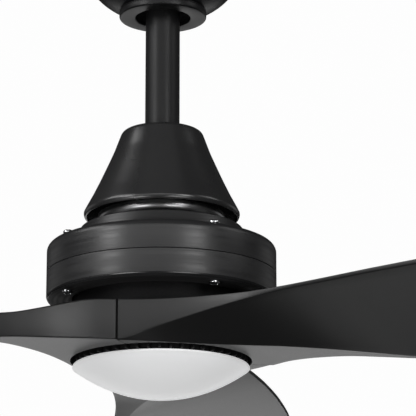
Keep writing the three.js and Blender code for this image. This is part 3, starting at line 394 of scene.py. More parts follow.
# ------------------------------------------------------------------ receiver and terminal block
# The remote control's receiver is a closed grey case, and the mains wires join in a nylon block.
# Both lie against the bracket's sides inside the canopy.

softened("receiver_box", GREY_PLASTIC, 0.9)
softened("terminal_block", NYLON, 0.4)


# ------------------------------------------------------------------ down rod
# Steel pipe in a duller black than the cone, with plain cut ends inside the ball and the yoke. It
# carries the whole fan.

rod_low, rod_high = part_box("downrod")
ROD_RADIUS = 13.6
ROD_WALL = 2.3
rod_ends = (rod_low.z / MM, rod_high.z / MM)
BLACK_SATIN = powder_coat("rod_coat", (0.012, 0.012, 0.0125), 0.4, 0.26)
rod_rise = np.linspace(rod_ends[0] + 1, rod_ends[1] - 1, 24)
turned("downrod_shape", outline(
    [(ROD_RADIUS, rod_ends[0], 0.4)] + [(ROD_RADIUS, z) for z in rod_rise]
    + [(ROD_RADIUS, rod_ends[1], 0.4), (ROD_RADIUS - ROD_WALL, rod_ends[1], 0.3),
       (ROD_RADIUS - ROD_WALL, rod_ends[0], 0.3)],
), BLACK_SATIN, "hanging_frame", "downrod", 128)


# ------------------------------------------------------------------ yoke, its pin and its clip
# A cast coupling bolted to the motor. The rod stands in it, carried by a clevis pin that a bent
# spring clip secures, with a set screw against rattle.

def cast_metal():
    """As-cast aluminium: grainy, dull, a little uneven in shade."""
    material, tree, principled, place = shader("cast_aluminium", (0.42, 0.43, 0.44), 0.5, 1.0)
    grain = noise(tree, place, 1300, 4)
    tint(tree, principled, spread(tree, grain, 0, 1), (0.34, 0.35, 0.36), (0.5, 0.51, 0.52))
    tree.links.new(spread(tree, grain, 0.42, 0.62), principled.inputs["Roughness"])
    relief(tree, principled, grain, 0.00006)
    return material


CAST = cast_metal()
softened("yoke", CAST, 0.6, "hanging_frame")
for node in ("clevis_pin", "clevis_clip", "yoke_set_screw"):
    softened(node, ZINC, 0.25, "hanging_frame")
for number in (1, 2, 3):
    softened(f"yoke_screw_{number}", ZINC, 0.25, "hanging_frame")


# ------------------------------------------------------------------ yoke cover
# A spun steel cone that slides on the rod and rests on the yoke. Its side bows in slightly, its
# lower edge turns in, and its top turns over in a rounded shoulder round the rod.

CONE_COAT = powder_coat("cone_coat", (0.019, 0.019, 0.0195), 0.27, 0.85)
cover_low, cover_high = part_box("yoke_cover")
rim, crown = cover_low.z / MM, cover_high.z / MM
COVER_WALL = 1.5

# Radius and height above the cone's lower edge, up its outside.
COVER_SIDE = np.array([
    (59.9, 0.1), (60.35, 0.7), (60.75, 1.7), (60.95, 2.7), (60.85, 3.8), (60.3, 4.9), (59.3, 6.9),
    (57.99, 9.3), (56.67, 11.8), (54.0, 16.8), (51.55, 21.9), (49.14, 26.9), (46.85, 31.9),
    (44.54, 37.0), (42.4, 41.8), (40.15, 46.9), (37.95, 52.0), (36.1, 57.0), (34.3, 61.9),
])
rise = np.linspace(COVER_SIDE[6, 1], COVER_SIDE[-1, 1], 30)
side_line = [(float(np.interp(z, COVER_SIDE[:, 1], COVER_SIDE[:, 0])), rim + float(z)) for z in rise]
rim_line = [(r, rim + z) for r, z in COVER_SIDE[:6].tolist()]
outer_line = rim_line + side_line
inner_line = [(r - COVER_WALL, z - 0.4 * COVER_WALL) for r, z in outer_line[::-1]]
inner_line[-1] = (inner_line[-1][0] + 0.5, rim + 0.1)
turned("yoke_cover_shape", outline(
    outer_line + [(31.2, crown, 6.4), (14.3, crown, 0.5), (14.3, crown - COVER_WALL, 0.4),
                  (29.4, crown - COVER_WALL, 5.0)] + inner_line, 10,
), CONE_COAT, "yoke_cover", "yoke_cover", 224, 50)


# ------------------------------------------------------------------ neck ring
# A spun collar round the yoke's flange, plated in black nickel and seen in the gap under the cone.
# Its lower edge curves in to a narrow foot on the motor housing.

def black_nickel():
    """Dark bright plating: a deep grey mirror with a faint haze from spinning."""
    material, tree, principled, place = shader("black_nickel", (0.42, 0.42, 0.425), 0.3, 1.0)
    haze = noise(tree, place, 500, 3, (0.1, 0.1, 1))
    tint(tree, principled, spread(tree, haze, 0, 1), (0.38, 0.38, 0.385), (0.46, 0.46, 0.465))
    tree.links.new(spread(tree, haze, 0.27, 0.33), principled.inputs["Roughness"])
    return material


BLACK_NICKEL = black_nickel()
neck_low, neck_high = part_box("neck_ring")
base, top = neck_low.z / MM, neck_high.z / MM
NECK_RADIUS = 50
NECK_ROUND = 7
NECK_ROUND_TOP = 9
NECK_BORE = 46
bend = np.radians(np.linspace(-59, 0, 18))
neck_curve = [(NECK_RADIUS - NECK_ROUND * (1 - math.cos(a)),
               base + NECK_ROUND_TOP + NECK_ROUND * math.sin(a)) for a in bend]
turned("neck_ring_shape", outline(
    [(NECK_BORE, base), (46.6, base)] + neck_curve + [(NECK_RADIUS, top, 0.8), (NECK_BORE, top, 0.4)],
), BLACK_NICKEL, "hanging_frame", "neck_ring", 192, 50)


# ------------------------------------------------------------------ motor housing
# Two cast shells, turned on a lathe and painted satin black, so fine rings show through the paint.
# The lower corner is rubbed brighter and the underside left matt. The shells meet at a thin joint
# line, and eight screws hold them together.

UNDERSIDE = -343


def up(height):
    """Height above the blade hub's underside, as a height in the frame, in millimetres."""
    return UNDERSIDE + height


# Heights between which the paint's gloss changes at the lower corner, and the ramp between them: the
# share of that rise, and half the factor on the roughness.
RAMP_LOW = 46.5
RAMP_HIGH = 51.5
GLOSS_RAMP = ((0, 1.0), (0.2, 1.0), (0.25, 0.22), (0.6, 0.25), (0.75, 0.5))


def turned_paint():
    """Paint over turned metal: rings whose height depends on radius and height, broken up along
    the turn. The roughness changes from band to band, and is multiplied by a ramp on the height:
    high on the underside, low on the lower corner, and one above it."""
    material, tree, principled, place = shader("turned_black", (0.028, 0.028, 0.030), 0.36)
    apart = tree.nodes.new("ShaderNodeSeparateXYZ")
    tree.links.new(place, apart.inputs["Vector"])
    flat = tree.nodes.new("ShaderNodeCombineXYZ")
    tree.links.new(apart.outputs["X"], flat.inputs["X"])
    tree.links.new(apart.outputs["Y"], flat.inputs["Y"])
    radius = tree.nodes.new("ShaderNodeVectorMath")
    radius.operation = "LENGTH"
    tree.links.new(flat.outputs["Vector"], radius.inputs[0])
    drift = tree.nodes.new("ShaderNodeMath")
    drift.operation = "MULTIPLY_ADD"
    drift.inputs[1].default_value = 0.012
    tree.links.new(apart.outputs["X"], drift.inputs[0])
    tree.links.new(apart.outputs["Y"], drift.inputs[2])
    ring = tree.nodes.new("ShaderNodeCombineXYZ")
    tree.links.new(radius.outputs["Value"], ring.inputs["X"])
    tree.links.new(drift.outputs["Value"], ring.inputs["Y"])
    tree.links.new(apart.outputs["Z"], ring.inputs["Z"])
    fine = noise(tree, ring.outputs["Vector"], 2600, 2, (1, 0.012, 1))
    broad = noise(tree, ring.outputs["Vector"], 420, 2, (1, 0.03, 1))
    tint(tree, principled, spread(tree, fine, 0, 1), (0.012, 0.012, 0.0125), (0.022, 0.022, 0.023))
    rough = spread(tree, broad, 0.3, 0.46)
    level = tree.nodes.new("ShaderNodeValToRGB")
    keys = level.color_ramp.elements
    for number, (share, half) in enumerate(GLOSS_RAMP):
        key = keys[number] if number < len(keys) else keys.new(share)
        key.position = share
        key.color = (half, half, half, 1)
    above_edge = spread(tree, apart.outputs["Z"], 0, 1, up(RAMP_LOW) * MM, up(RAMP_HIGH) * MM)
    tree.links.new(above_edge, level.inputs["Fac"])
    worn = tree.nodes.new("ShaderNodeMath")
    worn.operation = "MULTIPLY"
    tree.links.new(rough, worn.inputs[0])
    tree.links.new(level.outputs["Color"], worn.inputs[1])
    doubled = tree.nodes.new("ShaderNodeMath")
    doubled.operation = "MULTIPLY"
    doubled.inputs[1].default_value = 2.0
    tree.links.new(worn.outputs["Value"], doubled.inputs[0])
    tree.links.new(doubled.outputs["Value"], principled.inputs["Roughness"])
    relief(tree, principled, fine, 0.00002)
    principled.inputs["Specular IOR Level"].default_value = 0.62
    return material


TURNED_BLACK = turned_paint()
HOUSING = 89.2
WALL = 2.7
JOINT_LOW, JOINT_HIGH = up(68.0), up(68.3)
SHOULDER, SHOULDER_UNDER = up(91.1), up(88.1)
BOSS, BOSS_UNDER = up(104.2), up(101.2)
HOUSING_LOW, HOUSING_INNER = up(47), up(49.7)
SHAFT_HOLE = 7.9
DRUM_HOLE = 69.5
turned("upper_housing_shape", outline([
    (HOUSING, JOINT_HIGH, 0.35), (HOUSING, SHOULDER, 5.6), (66.4, SHOULDER, 1.2),
    (63.4, BOSS, 1.0), (SHAFT_HOLE, BOSS, 0.3), (SHAFT_HOLE, BOSS_UNDER, 0.3), (60.4, BOSS_UNDER, 0.8),
    (63.2, SHOULDER_UNDER, 0.8), (HOUSING - WALL, SHOULDER_UNDER, 2.5),
    (HOUSING - WALL, JOINT_HIGH, 0.3),
], 8), TURNED_BLACK, "hanging_frame", "upper_housing", 224)
turned("lower_housing_shape", outline([
    (DRUM_HOLE, HOUSING_LOW, 0.5), (HOUSING, HOUSING_LOW, 3.4), (HOUSING, JOINT_LOW, 0.35),
    (HOUSING - WALL, JOINT_LOW, 0.3), (HOUSING - WALL, HOUSING_INNER, 1.0),
    (DRUM_HOLE, HOUSING_INNER, 0.5),
], 8), TURNED_BLACK, "hanging_frame", "lower_housing", 224)

HOUSING_HEAD = 3.9
HOUSING_HEAD_HEIGHT = 2.8
for number in range(1, 5):
    for place, out, length in (("top", 1, 30), ("bottom", -1, 8)):
        low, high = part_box(f"housing_{place}_screw_{number}")
        seat_height = (high.z if out > 0 else low.z) - out * HOUSING_HEAD_HEIGHT * MM
        seat = ((low.x + high.x) / 2, (low.y + high.y) / 2, seat_height)
        pan_screw(f"housing_{place}_screw_{number}", HOUSING_HEAD, HOUSING_HEAD_HEIGHT, SCREW_SHANK,
                  length, seat, (0, 0, out), CHROME, "hanging_frame")


# ------------------------------------------------------------------ motor inside
# A hollow steel shaft carries the wound stator core. The rotor turns round it on two ball
# bearings, with a ring of sintered magnets inside its rim.

def wound_copper():
    """Enamelled wire: reddish, glossy, ribbed by the turns."""
    material, tree, principled, place = shader("enamelled_copper", (0.58, 0.22, 0.09), 0.28, 1.0)
    turns = tree.nodes.new("ShaderNodeTexWave")
    turns.bands_direction = "Z"
    turns.inputs["Scale"].default_value = 450
    turns.inputs["Distortion"].default_value = 1.5
    tree.links.new(place, turns.inputs["Vector"])
    tint(tree, principled, turns.outputs["Fac"], (0.42, 0.14, 0.05), (0.66, 0.28, 0.12))
    relief(tree, principled, turns.outputs["Fac"], 0.0002)
    return material


def stacked_steel():
    """Stator sheets seen on edge: thin dark lines every half millimetre of height."""
    material, tree, principled, place = shader("stacked_steel", (0.3, 0.3, 0.31), 0.4, 1.0)
    sheets = tree.nodes.new("ShaderNodeTexWave")
    sheets.bands_direction = "Z"
    sheets.inputs["Scale"].default_value = 320
    tree.links.new(place, sheets.inputs["Vector"])
    tint(tree, principled, sheets.outputs["Fac"], (0.16, 0.16, 0.17), (0.36, 0.36, 0.37))
    relief(tree, principled, sheets.outputs["Fac"], 0.00008)
    return material


MAGNET = moulded("sintered_magnet", (0.05, 0.05, 0.055), (0.08, 0.08, 0.085), 0.4, 1800)
for node, material in (("stator_winding", wound_copper()), ("stator_core", stacked_steel()),
                       ("magnet_ring", MAGNET), ("motor_shaft", ZINC), ("stator_carrier", CAST),
                       ("rotor_cover", CAST), ("upper_bearing", CHROME), ("lower_bearing", CHROME)):
    dress(nodes[node], material)


# ------------------------------------------------------------------ rotor hub
# A black die-cast cup on two bearings. Its drum shows between the housing and the blades, and the
# blades are screwed to its lower plate.

def black_metal_and_shade():
    """Blackened casting, nearly matt, with a fine grain; its shade and shine kept lower than the casting's
    own, as painted shade for the drum's place under the housing.
    """
    material, tree, principled, place = shader("black_metal_and_shade", (0.016, 0.016, 0.017), 0.5, 0.0)
    grain = noise(tree, place, 1200, 3)
    # Painted shade: near-black shades, darker than the casting itself, for the drum recessed under the
    # housing.
    tint(tree, principled, spread(tree, grain, 0, 1), (0.006, 0.006, 0.0065), (0.012, 0.012, 0.0125))
    tree.links.new(spread(tree, grain, 0.42, 0.6), principled.inputs["Roughness"])
    relief(tree, principled, grain, 0.00003)
    # Weak specular level, also part of the painted shade: the shaded drum shows almost no reflection.
    principled.inputs["Specular IOR Level"].default_value = 0.1
    return material


BLACK_METAL_AND_SHADE = black_metal_and_shade()
CUP = 76.1
CUP_WALL = 3
DRUM = 68
DRUM_INNER = 64
BEARING_BORE = 16.2
BEARING_BOSS = 23.2
turned("rotor_hub_shape", outline([
    (BEARING_BORE, up(31.0), 0.4), (DRUM, up(31.0), 0.8), (DRUM, up(50.7), 0.8), (CUP, up(50.7), 1.0),
    (CUP, up(80.0), 0.5), (CUP - CUP_WALL, up(80.0), 0.4), (CUP - CUP_WALL, up(53.7), 1.0),
    (DRUM_INNER, up(53.7), 1.0), (DRUM_INNER, up(35.0), 1.5), (BEARING_BOSS, up(35.0), 1.5),
    (BEARING_BOSS, up(46.0), 0.6), (BEARING_BORE, up(46.0), 0.4),
]), BLACK_METAL_AND_SHADE, "rotor", "rotor_hub", 160)


# ------------------------------------------------------------------ blades
# Three broad blades moulded in fine-grained charcoal plastic. Each root is a third of the hub, flat
# underneath, and a straight crease divides it from the pitched face of the blade. The leading side
# starts as the hub's wall and thins to a narrow edge.

BLADE_REACH = 660
BLADE_SWEEP = 18.5
FIRST_BLADE = 308.8
ROOT_TOP = 30.7
RECESS = 70

# Share of the reach, leading edge Y and its lower and upper Z, crease Y and Z, trailing edge Y and
# its lower and upper Z, from the hub's underside.
SECTIONS = np.array([
    (0.0000, -96, 0.5, 31.0, -95, 0.0, 76, 0, 30.7),
    (0.0280, -83.3, 0.9, 31.0, -82, 0.0, 70, 0, 30.7),
    (0.0590, -71.5, 8.9, 31.0, -63, 0.0, 64, 0, 30.7),
    (0.0924, -62.9, 15.6, 31.0, -39.5, 0.0, 60, 0, 30.7),
    (0.1300, -56.4, 21.7, 31.0, -17.5, -0.1, 51.9, 0, 29.6),
    (0.1680, -53.0, 25.7, 31.0, 0.5, -0.7, 47.6, -1.2, 23.5),
    (0.2120, -55.2, 27.6, 30.8, 19.5, -2.8, 47.2, -3.4, 15.6),
    (0.2545, -61.0, 27.0, 30.2, 33.0, -6.2, 48.9, -7.0, 10.0),
    (0.3000, -68.2, 26.2, 29.5, 44.0, -10.3, 51.8, -10.9, -0.5),
    (0.3485, -75.0, 25.6, 29.0, 53.0, -12.8, 57, -13.0, -7.5),
    (0.4500, -85.5, 24.4, 28.2, 62, -13.7, 67, -14.0, -10.3),
    (0.5800, -93.5, 22.8, 26.6, 70, -13.2, 75, -13.4, -9.8),
    (0.7100, -92.0, 20.6, 24.4, 69, -11.6, 74, -11.8, -8.2),
    (0.8400, -83.0, 17.6, 21.4, 61, -9.5, 66, -9.7, -6.1),
    (0.9400, -70.0, 14.8, 18.6, 49, -7.6, 54, -7.8, -4.2),
    (0.9850, -57.0, 12.8, 16.4, 36, -6.0, 41, -6.2, -2.8),
    (1.0000, -40.0, 10.6, 13.6, 19, -3.8, 24, -4.0, -1.0),
])
CROWN = 2.5


def smooth_columns(table, share):
    """Every column of the table at the shares: a cubic in each span whose end slopes are those of
    the line through the two neighbouring rows."""
    at = table[:, 0]
    value = table[:, 1:]
    slope = np.zeros_like(value)
    slope[1:-1] = (value[2:] - value[:-2]) / (at[2:] - at[:-2])[:, None]
    slope[0] = (value[1] - value[0]) / (at[1] - at[0])
    slope[-1] = (value[-1] - value[-2]) / (at[-1] - at[-2])
    span = np.clip(np.searchsorted(at, share, side="right") - 1, 0, len(at) - 2)
    width = (at[span + 1] - at[span])[:, None]
    t = (share[:, None] - at[span][:, None]) / width
    rise = value[span + 1] - value[span]
    ease = t * t * (3 - 2 * t)
    out = (t ** 3 - 2 * t * t + t) * slope[span] * width
    into = (t ** 3 - t * t) * slope[span + 1] * width
    return value[span] + ease * rise + out + into


def blade_surface(stations=190, steps=4, across=26):
    """Closed blade as a grid: stations along it, and round each one the outline of its section.

    The section runs from the trailing edge under the crease to the leading edge and back over a
    crowned top. Every corner is a small arc, the rational quadratic curve of outline().
    """
    t = np.linspace(0, 1, stations)
    share = np.where(t < 0.5, t * 0.72, 0.36 + (t - 0.5) * 1.28)
    lead, lead_low, lead_top, crease, crease_z, trail, trail_low, trail_top = \
        smooth_columns(SECTIONS, share).T
    crease = np.clip(crease, lead + 0.5, trail - 1)
    crown = CROWN * np.clip((share - 0.2) / 0.2, 0, 1)
    crown = crown * crown / CROWN * (3 - 2 * crown / CROWN)
    over = np.linspace(0, 1, across + 2)[1:-1]
    top_y = lead[:, None] + (trail - lead)[:, None] * over
    top_z = lead_top[:, None] + (trail_top - lead_top)[:, None] * over
    top_z = top_z + crown[:, None] * 4 * over * (1 - over)
    corner_y = np.stack([trail, crease, lead, lead, trail], 1)
    corner_z = np.stack([trail_low, crease_z, lead_low, lead_top, trail_top], 1)
    corner = np.stack([corner_y, corner_z], -1)
    back = np.roll(corner, 1, 1) - corner
    on = np.roll(corner, -1, 1) - corner
    back_length = np.linalg.norm(back, axis=-1, keepdims=True)
    on_length = np.linalg.norm(on, axis=-1, keepdims=True)
    rounding = np.array([1.1, 0.5, 0.9, 0.9, 1.1])[None, :, None]
    reach = np.minimum(rounding, 0.4 * np.minimum(back_length, on_length))
    back = back / back_length
    on = on / on_length
    start = corner + back * reach
    end = corner + on * reach
    half = np.arccos(np.clip((back * on).sum(-1), -1, 1)) / 2
    s = np.linspace(0, 1, steps + 1)
    weight = np.sin(half)[:, :, None, None] * 2 * (s * (1 - s))[:, None]
    first = ((1 - s) ** 2)[:, None]
    last = (s ** 2)[:, None]
    arcs = (first * start[:, :, None] + weight * corner[:, :, None] + last * end[:, :, None]) \
        / (first + weight + last)
    between = np.linspace(0, 1, 14)[1:-1]
    pitched = arcs[:, 1, -1][:, None] + (arcs[:, 2, 0] - arcs[:, 1, -1])[:, None] * between[:, None]
    flat = arcs[:, 0, -1][:, None] + (arcs[:, 1, 0] - arcs[:, 0, -1])[:, None] * between[:, None]
    over_top = np.stack([top_y, top_z], -1)
    ring = np.concatenate([arcs[:, 0], flat, arcs[:, 1], pitched, arcs[:, 2], arcs[:, 3], over_top,
                           arcs[:, 4]], 1)
    along = np.broadcast_to((share * BLADE_REACH)[:, None, None], ring[..., :1].shape)
    return np.concatenate([along, ring], -1)


def blade_plastic():
    """Charcoal plastic: fine spark-eroded grain, soft clouds of shade and gloss."""
    material, tree, principled, place = shader("charcoal_blade", (0.014, 0.014, 0.0145), 0.46)
    clouds = spread(tree, noise(tree, place, 9, 3), 0, 1)
    tint(tree, principled, clouds, (0.009, 0.009, 0.0093), (0.013, 0.013, 0.0133))
    grain = noise(tree, place, 2400, 3)
    tree.links.new(spread(tree, grain, 0.34, 0.44), principled.inputs["Roughness"])
    relief(tree, principled, grain, 0.00002)
    principled.inputs["Specular IOR Level"].default_value = 0.6
    return material


def prism(name, shape, bottom, top):
    """Throw-away upright prism over a flat outline of points, in metres, for cutting or joining."""
    count = len(shape)
    low = np.column_stack([shape, np.full(count, bottom)])
    high = np.column_stack([shape, np.full(count, top)])
    faces = grid_faces(2, count, False)
    faces += [list(range(count))[::-1], list(range(count, 2 * count))]
    return piece_from(name, np.concatenate([low, high]), faces)


def combine(piece, tool, operation):
    """Applies one exact boolean of the tool to the piece and removes the tool."""
    modifier = piece.modifiers.new(operation, "BOOLEAN")
    modifier.operation = operation
    modifier.solver = "EXACT"
    modifier.object = tool
    graph = bpy.context.evaluated_depsgraph_get()
    mesh = bpy.data.meshes.new_from_object(piece.evaluated_get(graph))
    piece.modifiers.clear()
    old = piece.data
    piece.data = mesh
    bpy.data.meshes.remove(old)
    bpy.data.objects.remove(tool)


def turned_flat(points, degrees):
    """Points turned about Z by an angle in degrees."""
    a = math.radians(degrees)
    matrix = np.array([[math.cos(a), -math.sin(a)], [math.sin(a), math.cos(a)]])
    points = np.array(points, float)
    points[..., :2] = points[..., :2] @ matrix.T
    return points


def sector(inner, outer, half_angle, steps=60):
    """Flat outline of a sector of a ring about +X, in metres."""
    turn = np.radians(np.linspace(-half_angle, half_angle, steps))
    out = np.column_stack([np.cos(turn), np.sin(turn)]) * outer
    back = np.column_stack([np.cos(turn[::-1]), np.sin(turn[::-1])]) * inner
    return np.concatenate([out, back]) * MM


BLADE_PLASTIC = blade_plastic()
SEAM = 0.35
surface = turned_flat(blade_surface(), BLADE_SWEEP)
surface[..., 2] += UNDERSIDE
rows, columns = surface.shape[:2]
blade_faces = grid_faces(rows, columns, False)
blade_faces += [list(range(columns))[::-1], list(range((rows - 1) * columns, rows * columns))]
root_turn = np.radians(60)
shift = SEAM / math.sin(root_turn)
wedge = np.array([(shift, 0), (shift + 900 * math.cos(root_turn), -900 * math.sin(root_turn)),
                  (shift + 1500, 0), (shift + 900 * math.cos(root_turn), 900 * math.sin(root_turn))])
circle = np.radians(np.linspace(0, 360, 240, endpoint=False))
recess = np.column_stack([np.cos(circle), np.sin(circle)]) * RECESS * MM

for number in range(3):
    turn = FIRST_BLADE + 120 * number
    blade = piece_from(f"blade_{number + 1}_shape", turned_flat(surface * MM, turn), blade_faces, 15)
    combine(blade, prism("wedge", turned_flat(wedge * MM, turn), up(-60) * MM, up(60) * MM), "INTERSECT")
    combine(blade, prism("recess", recess, up(-60) * MM, up(60) * MM), "DIFFERENCE")
    tab = turned_flat(sector(45, RECESS + 1.5, 58), turn)
    combine(blade, prism("tab", tab, up(ROOT_TOP - 5) * MM, up(ROOT_TOP - 0.02) * MM), "UNION")
    blade.data.shade_smooth()
    blade.data.set_sharp_from_angle(angle=math.radians(22))
    dress(blade, BLADE_PLASTIC)
    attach(blade, "rotor")
    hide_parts(f"blade_{number + 1}")
for number in range(1, 7):
    softened(f"blade_screw_{number}", ZINC, 0.25, "rotor")


# ------------------------------------------------------------------ lamp carrier and heat sink
# A steel plate on the still shaft, and under it a black aluminium ring whose short upright fins
# show as a row of teeth between the lens and the blades.

for node in ("lamp_carrier", "shaft_nut", "lamp_tray"):
    softened(node, ZINC, 0.4, "hanging_frame")
for number in (1, 2, 3):
    softened(f"tray_screw_{number}", ZINC, 0.2, "hanging_frame")

FINS = 48
FIN_TIP = RECESS - 3
SINK_BORE = 16
SINK_LOW, SINK_HIGH = up(12.0), up(15.7)
RIB_TOP = up(12.6)
sink_line = outline([
    (SINK_BORE, SINK_LOW, 0.4), (FIN_TIP, SINK_LOW, 0.3), (FIN_TIP, SINK_HIGH, 0.6),
    (SINK_BORE, SINK_HIGH, 0.4),
])
sink_count = 192
ring_points = on_profile(sink_line, sink_count).reshape(-1, 3)
SKIRT = (59.8, 61.2)
skirt_line = outline([
    (SKIRT[0], up(-2.6), 0.3), (SKIRT[1], up(-2.6), 0.3), (SKIRT[1], RIB_TOP, 0.1),
    (SKIRT[0], RIB_TOP, 0.1),
], 3)
skirt_points = on_profile(skirt_line, sink_count).reshape(-1, 3)
fin_outline = outline([
    (SKIRT[1] - 0.6, up(-2), 0.3), (FIN_TIP - 0.1, up(-2), 1.4), (FIN_TIP - 0.1, RIB_TOP, 0.2),
    (SKIRT[1] - 0.6, RIB_TOP, 0.2),
], 3)
fin_turn = np.radians(360 / FINS * np.arange(FINS))
half_fin = 0.8 * MM
fin_sides = np.array([-half_fin, half_fin])
fin_x = np.broadcast_to(fin_outline[None, None, :, 0], (FINS, 2, len(fin_outline)))
fin_y = np.broadcast_to(fin_sides[None, :, None], fin_x.shape)
cosine, sine = np.cos(fin_turn)[:, None, None], np.sin(fin_turn)[:, None, None]
fin_points = np.stack([fin_x * cosine - fin_y * sine, fin_x * sine + fin_y * cosine,
                       np.broadcast_to(fin_outline[None, None, :, 1], fin_x.shape)], -1)
sink_faces = grid_faces(len(sink_line), sink_count, True)
sink_faces += grid_faces(len(skirt_line), sink_count, True, len(ring_points))
ring_points = np.concatenate([ring_points, skirt_points])
corners = len(fin_outline)
for fin in range(FINS):
    first = len(ring_points) + fin * 2 * corners
    sink_faces += grid_faces(2, corners, False, first)
    sink_faces += [list(range(first, first + corners))[::-1],
                   list(range(first + corners, first + 2 * corners))]
sink = piece_from("heat_sink_shape", np.concatenate([ring_points, fin_points.reshape(-1, 3)]),
                  sink_faces)
work = bmesh.new()
work.from_mesh(sink.data)
bmesh.ops.recalc_face_normals(work, faces=work.faces)
work.to_mesh(sink.data)
work.free()
# The same near-black material as the drum, with its painted shade.
dress(sink, BLACK_METAL_AND_SHADE)
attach(sink, "hanging_frame")
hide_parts("heat_sink")


# ------------------------------------------------------------------ LED board and driver
# A thin board under white solder mask, held below the tray inside the lens. A moulded driver on top
# of the tray feeds it.

def led_board():
    """Glossy white solder mask, faintly mottled."""
    material, tree, principled, place = shader("white_led_board", (0.82, 0.82, 0.80), 0.3)
    tint(tree, principled, spread(tree, noise(tree, place, 260, 2), 0, 1), (0.78, 0.78, 0.76),
         (0.86, 0.86, 0.84))
    relief(tree, principled, noise(tree, place, 900, 2), 0.00001)
    return material


dress(nodes["led_board"], led_board())
softened("light_driver", NYLON, 1.0, "hanging_frame")


# ------------------------------------------------------------------ opal lens
# A moulded opal shell, evenly milky, that twists onto the tray on three bayonet tabs. Light
# scatters in its wall, so it looks soft. The lamp is off; a painted glow, an even emission, stands in for
# the room's light on it.

def opal():
    """Milky plastic: light scattered inside, a faint painted glow standing in for room light, a soft skin
    gloss.
    """
    material, tree, principled, place = shader("opal_plastic", (0.80, 0.81, 0.82), 0.42)
    tint(tree, principled, spread(tree, noise(tree, place, 24, 3), 0, 1), (0.77, 0.78, 0.79),
         (0.82, 0.83, 0.84))
    principled.inputs["Subsurface Weight"].default_value = 0.25
    principled.inputs["Subsurface Radius"].default_value = (0.004, 0.004, 0.004)
    principled.inputs["Subsurface Scale"].default_value = 1.0
    # Painted glow: an even white emission that stands in for the studio light falling on the unlit lens.
    principled.inputs["Emission Color"].default_value = (1.0, 1.0, 1.0, 1)
    principled.inputs["Emission Strength"].default_value = 0.4
    relief(tree, principled, noise(tree, place, 500, 2), 0.000006)
    return material


LENS = 68.3
LENS_WALL = 2
LENS_RIM = -5.4
LENS_TOP = -3.8
LENS_BOTTOM = -28.4
LENS_NECK = 59.0
LENS_NECK_INNER = 57.0
LENS_NECK_TOP = 2.5


def dome(radius, inset=0.0):
    """Height of the lens at a radius: a bowl that rises with the radius to the power 2.08."""
    share = radius / (LENS - inset)
    return LENS_BOTTOM + inset + (LENS_RIM - LENS_BOTTOM) * share ** 2.08


outside = [(r, up(dome(r))) for r in np.linspace(0, LENS * 0.965, 48)]
inside = [(r, up(dome(r, LENS_WALL))) for r in np.linspace((LENS - LENS_WALL) * 0.95, 0, 40)]
edge = 0.3
upper = [(LENS, up(LENS_RIM)), (LENS - 0.1, up(-4.9)), (LENS - 0.5, up(-4.2)), (LENS - 1.3, up(LENS_TOP)),
         (LENS_NECK + edge, up(LENS_TOP)), (LENS_NECK, up(LENS_TOP + edge)),
         (LENS_NECK, up(LENS_NECK_TOP - edge)), (LENS_NECK - edge, up(LENS_NECK_TOP)),
         (LENS_NECK_INNER + edge, up(LENS_NECK_TOP)), (LENS_NECK_INNER, up(LENS_NECK_TOP - edge)),
         (LENS_NECK_INNER, up(LENS_TOP - LENS_WALL + edge)),
         (LENS_NECK_INNER + edge, up(LENS_TOP - LENS_WALL)), (64.3, up(LENS_TOP - LENS_WALL))]
lens_line = np.array(outside + upper + inside) * MM
lens_count = 224
lens_ring = on_profile(lens_line[1:-1], lens_count).reshape(-1, 3)
poles = np.array([(0, 0, lens_line[0, 1]), (0, 0, lens_line[-1, 1])])
lens_faces = grid_faces(len(lens_line) - 2, lens_count, False)
rim_index = np.arange(lens_count)
last_row = (len(lens_line) - 3) * lens_count
lens_faces += [[len(lens_ring), int(b), int(a)] for a, b in zip(rim_index, np.roll(rim_index, -1))]
lens_faces += [[len(lens_ring) + 1, int(a), int(b)]
               for a, b in zip(last_row + rim_index, last_row + np.roll(rim_index, -1))]
lens = piece_from("opal_lens_shape", np.concatenate([lens_ring, poles]), lens_faces, 40)
for tab in range(3):
    shape = turned_flat(sector(53.5, 57.6, 13, 16), 120 * tab)
    combine(lens, prism("lens_tab", shape, up(1.3) * MM, up(2.45) * MM), "UNION")
lens.data.shade_smooth()
lens.data.set_sharp_from_angle(angle=math.radians(40))
dress(lens, opal())
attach(lens, "lens")
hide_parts("opal_lens")


# ------------------------------------------------------------------ studio
# A pale floor far below the fan, a white surround, and soft boxes all round: the strongest in front
# to either side, and one behind that the flat undersides mirror. Floor and surround are pale only as
# seen directly, so that they don't light the fan.

def soft_box(name, place, target, width, height, watts):
    """A rectangular lamp at a place, facing a target."""
    data = bpy.data.lights.new(name, "AREA")
    data.shape = "RECTANGLE"
    data.size = width
    data.size_y = height
    data.energy = watts
    lamp = bpy.data.objects.new(name, data)
    bpy.context.scene.collection.objects.link(lamp)
    lamp.location = place
    away = np.array(place) - np.array(target)
    lamp.rotation_euler = (math.acos(away[2] / np.linalg.norm(away)), 0,
                           math.atan2(away[1], away[0]) + math.pi / 2)
    lamp.visible_camera = False
    return lamp


HUB = (0.0, 0.0, -0.30)
STUDIO_RADIUS = 3.0

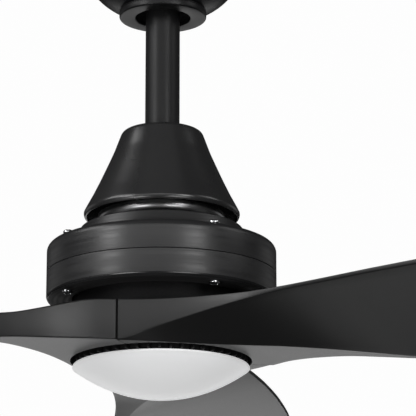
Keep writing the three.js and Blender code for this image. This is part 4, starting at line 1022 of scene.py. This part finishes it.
# Each lamp's name, the way it lies from the hub (turned from the front, then up, in degrees), its
# width and height in metres, and its brightness in watts per square metre and steradian.
for name, azimuth, rise, width, height, radiance in (
    ("front", -4, 20, 3.0, 1.1, 1.4),
    ("left_key", -50, 18, 0.8, 1.3, 6.9),
    ("left_side", -76, 36, 1.4, 1.3, 3.4),
    ("right_key", 34, 13, 0.7, 1.3, 6.4),
    ("right_side", 80, 32, 1.2, 1.3, 1.5),
    ("left_low", -36, -22, 1.3, 0.7, 6.0),
    ("right_low", 24, -22, 1.3, 0.7, 4.4),
    ("behind", 180, -15, 2.6, 1.0, 1.2),
    ("behind_low", 190, -44, 1.6, 0.7, 0.5),
    ("behind_left", 232, 8, 1.6, 1.0, 0.3),
    ("behind_right", 128, 8, 1.6, 1.0, 0.3),
    ("above", 0, 66, 2.4, 1.4, 0.1),
):
    turn, tilt = math.radians(azimuth), math.radians(rise)
    place = (STUDIO_RADIUS * math.cos(tilt) * math.sin(turn),
             -STUDIO_RADIUS * math.cos(tilt) * math.cos(turn),
             HUB[2] + STUDIO_RADIUS * math.sin(tilt))
    soft_box(name, place, HUB, width, height, radiance * math.pi * width * height)

floor_mesh = bpy.data.meshes.new("floor")
FLOOR_HALF = 12.0
FLOOR_HEIGHT = -10.0
floor_corners = [(x * FLOOR_HALF, y * FLOOR_HALF, FLOOR_HEIGHT)
                 for x, y in ((-1, -1), (1, -1), (1, 1), (-1, 1))]
floor_mesh.from_pydata(floor_corners, [], [(0, 1, 2, 3)])
floor_piece = bpy.data.objects.new("floor", floor_mesh)
bpy.context.scene.collection.objects.link(floor_piece)
floor_material, floor_tree, floor_shader, _ = shader("pale_floor", (0.7, 0.7, 0.7), 0.8)
floor_sight = floor_tree.nodes.new("ShaderNodeLightPath")
floor_shader.inputs["Emission Color"].default_value = (0.9, 0.9, 0.9, 1)
floor_tree.links.new(floor_sight.outputs["Is Camera Ray"], floor_shader.inputs["Emission Strength"])
dress(floor_piece, floor_material)

world = bpy.data.worlds.new("surround")
bpy.context.scene.world = world
world.use_nodes = True
ray = world.node_tree.nodes.new("ShaderNodeLightPath")
strength = world.node_tree.nodes.new("ShaderNodeMapRange")
strength.inputs["To Min"].default_value = 0.03
strength.inputs["To Max"].default_value = 0.985
background = world.node_tree.nodes["Background"]
background.inputs["Color"].default_value = (1, 1, 1, 1)
world.node_tree.links.new(ray.outputs["Is Camera Ray"], strength.inputs["Value"])
world.node_tree.links.new(strength.outputs["Result"], background.inputs["Strength"])
bpy.context.scene.view_settings.view_transform = "Standard"

camera_data = bpy.data.cameras.new("camera")
camera_data.lens = 216.4
camera_data.sensor_width = 36.0
camera_data.clip_end = 50.0
camera = bpy.data.objects.new("camera", camera_data)
bpy.context.scene.collection.objects.link(camera)
CAMERA_PITCH = 15.31
camera.location = (0.03605, -1.88593, UNDERSIDE * MM - 0.39368)
camera.rotation_euler = (math.radians(90 + CAMERA_PITCH), 0, 0)
bpy.context.scene.camera = camera

bpy.context.view_layer.update()
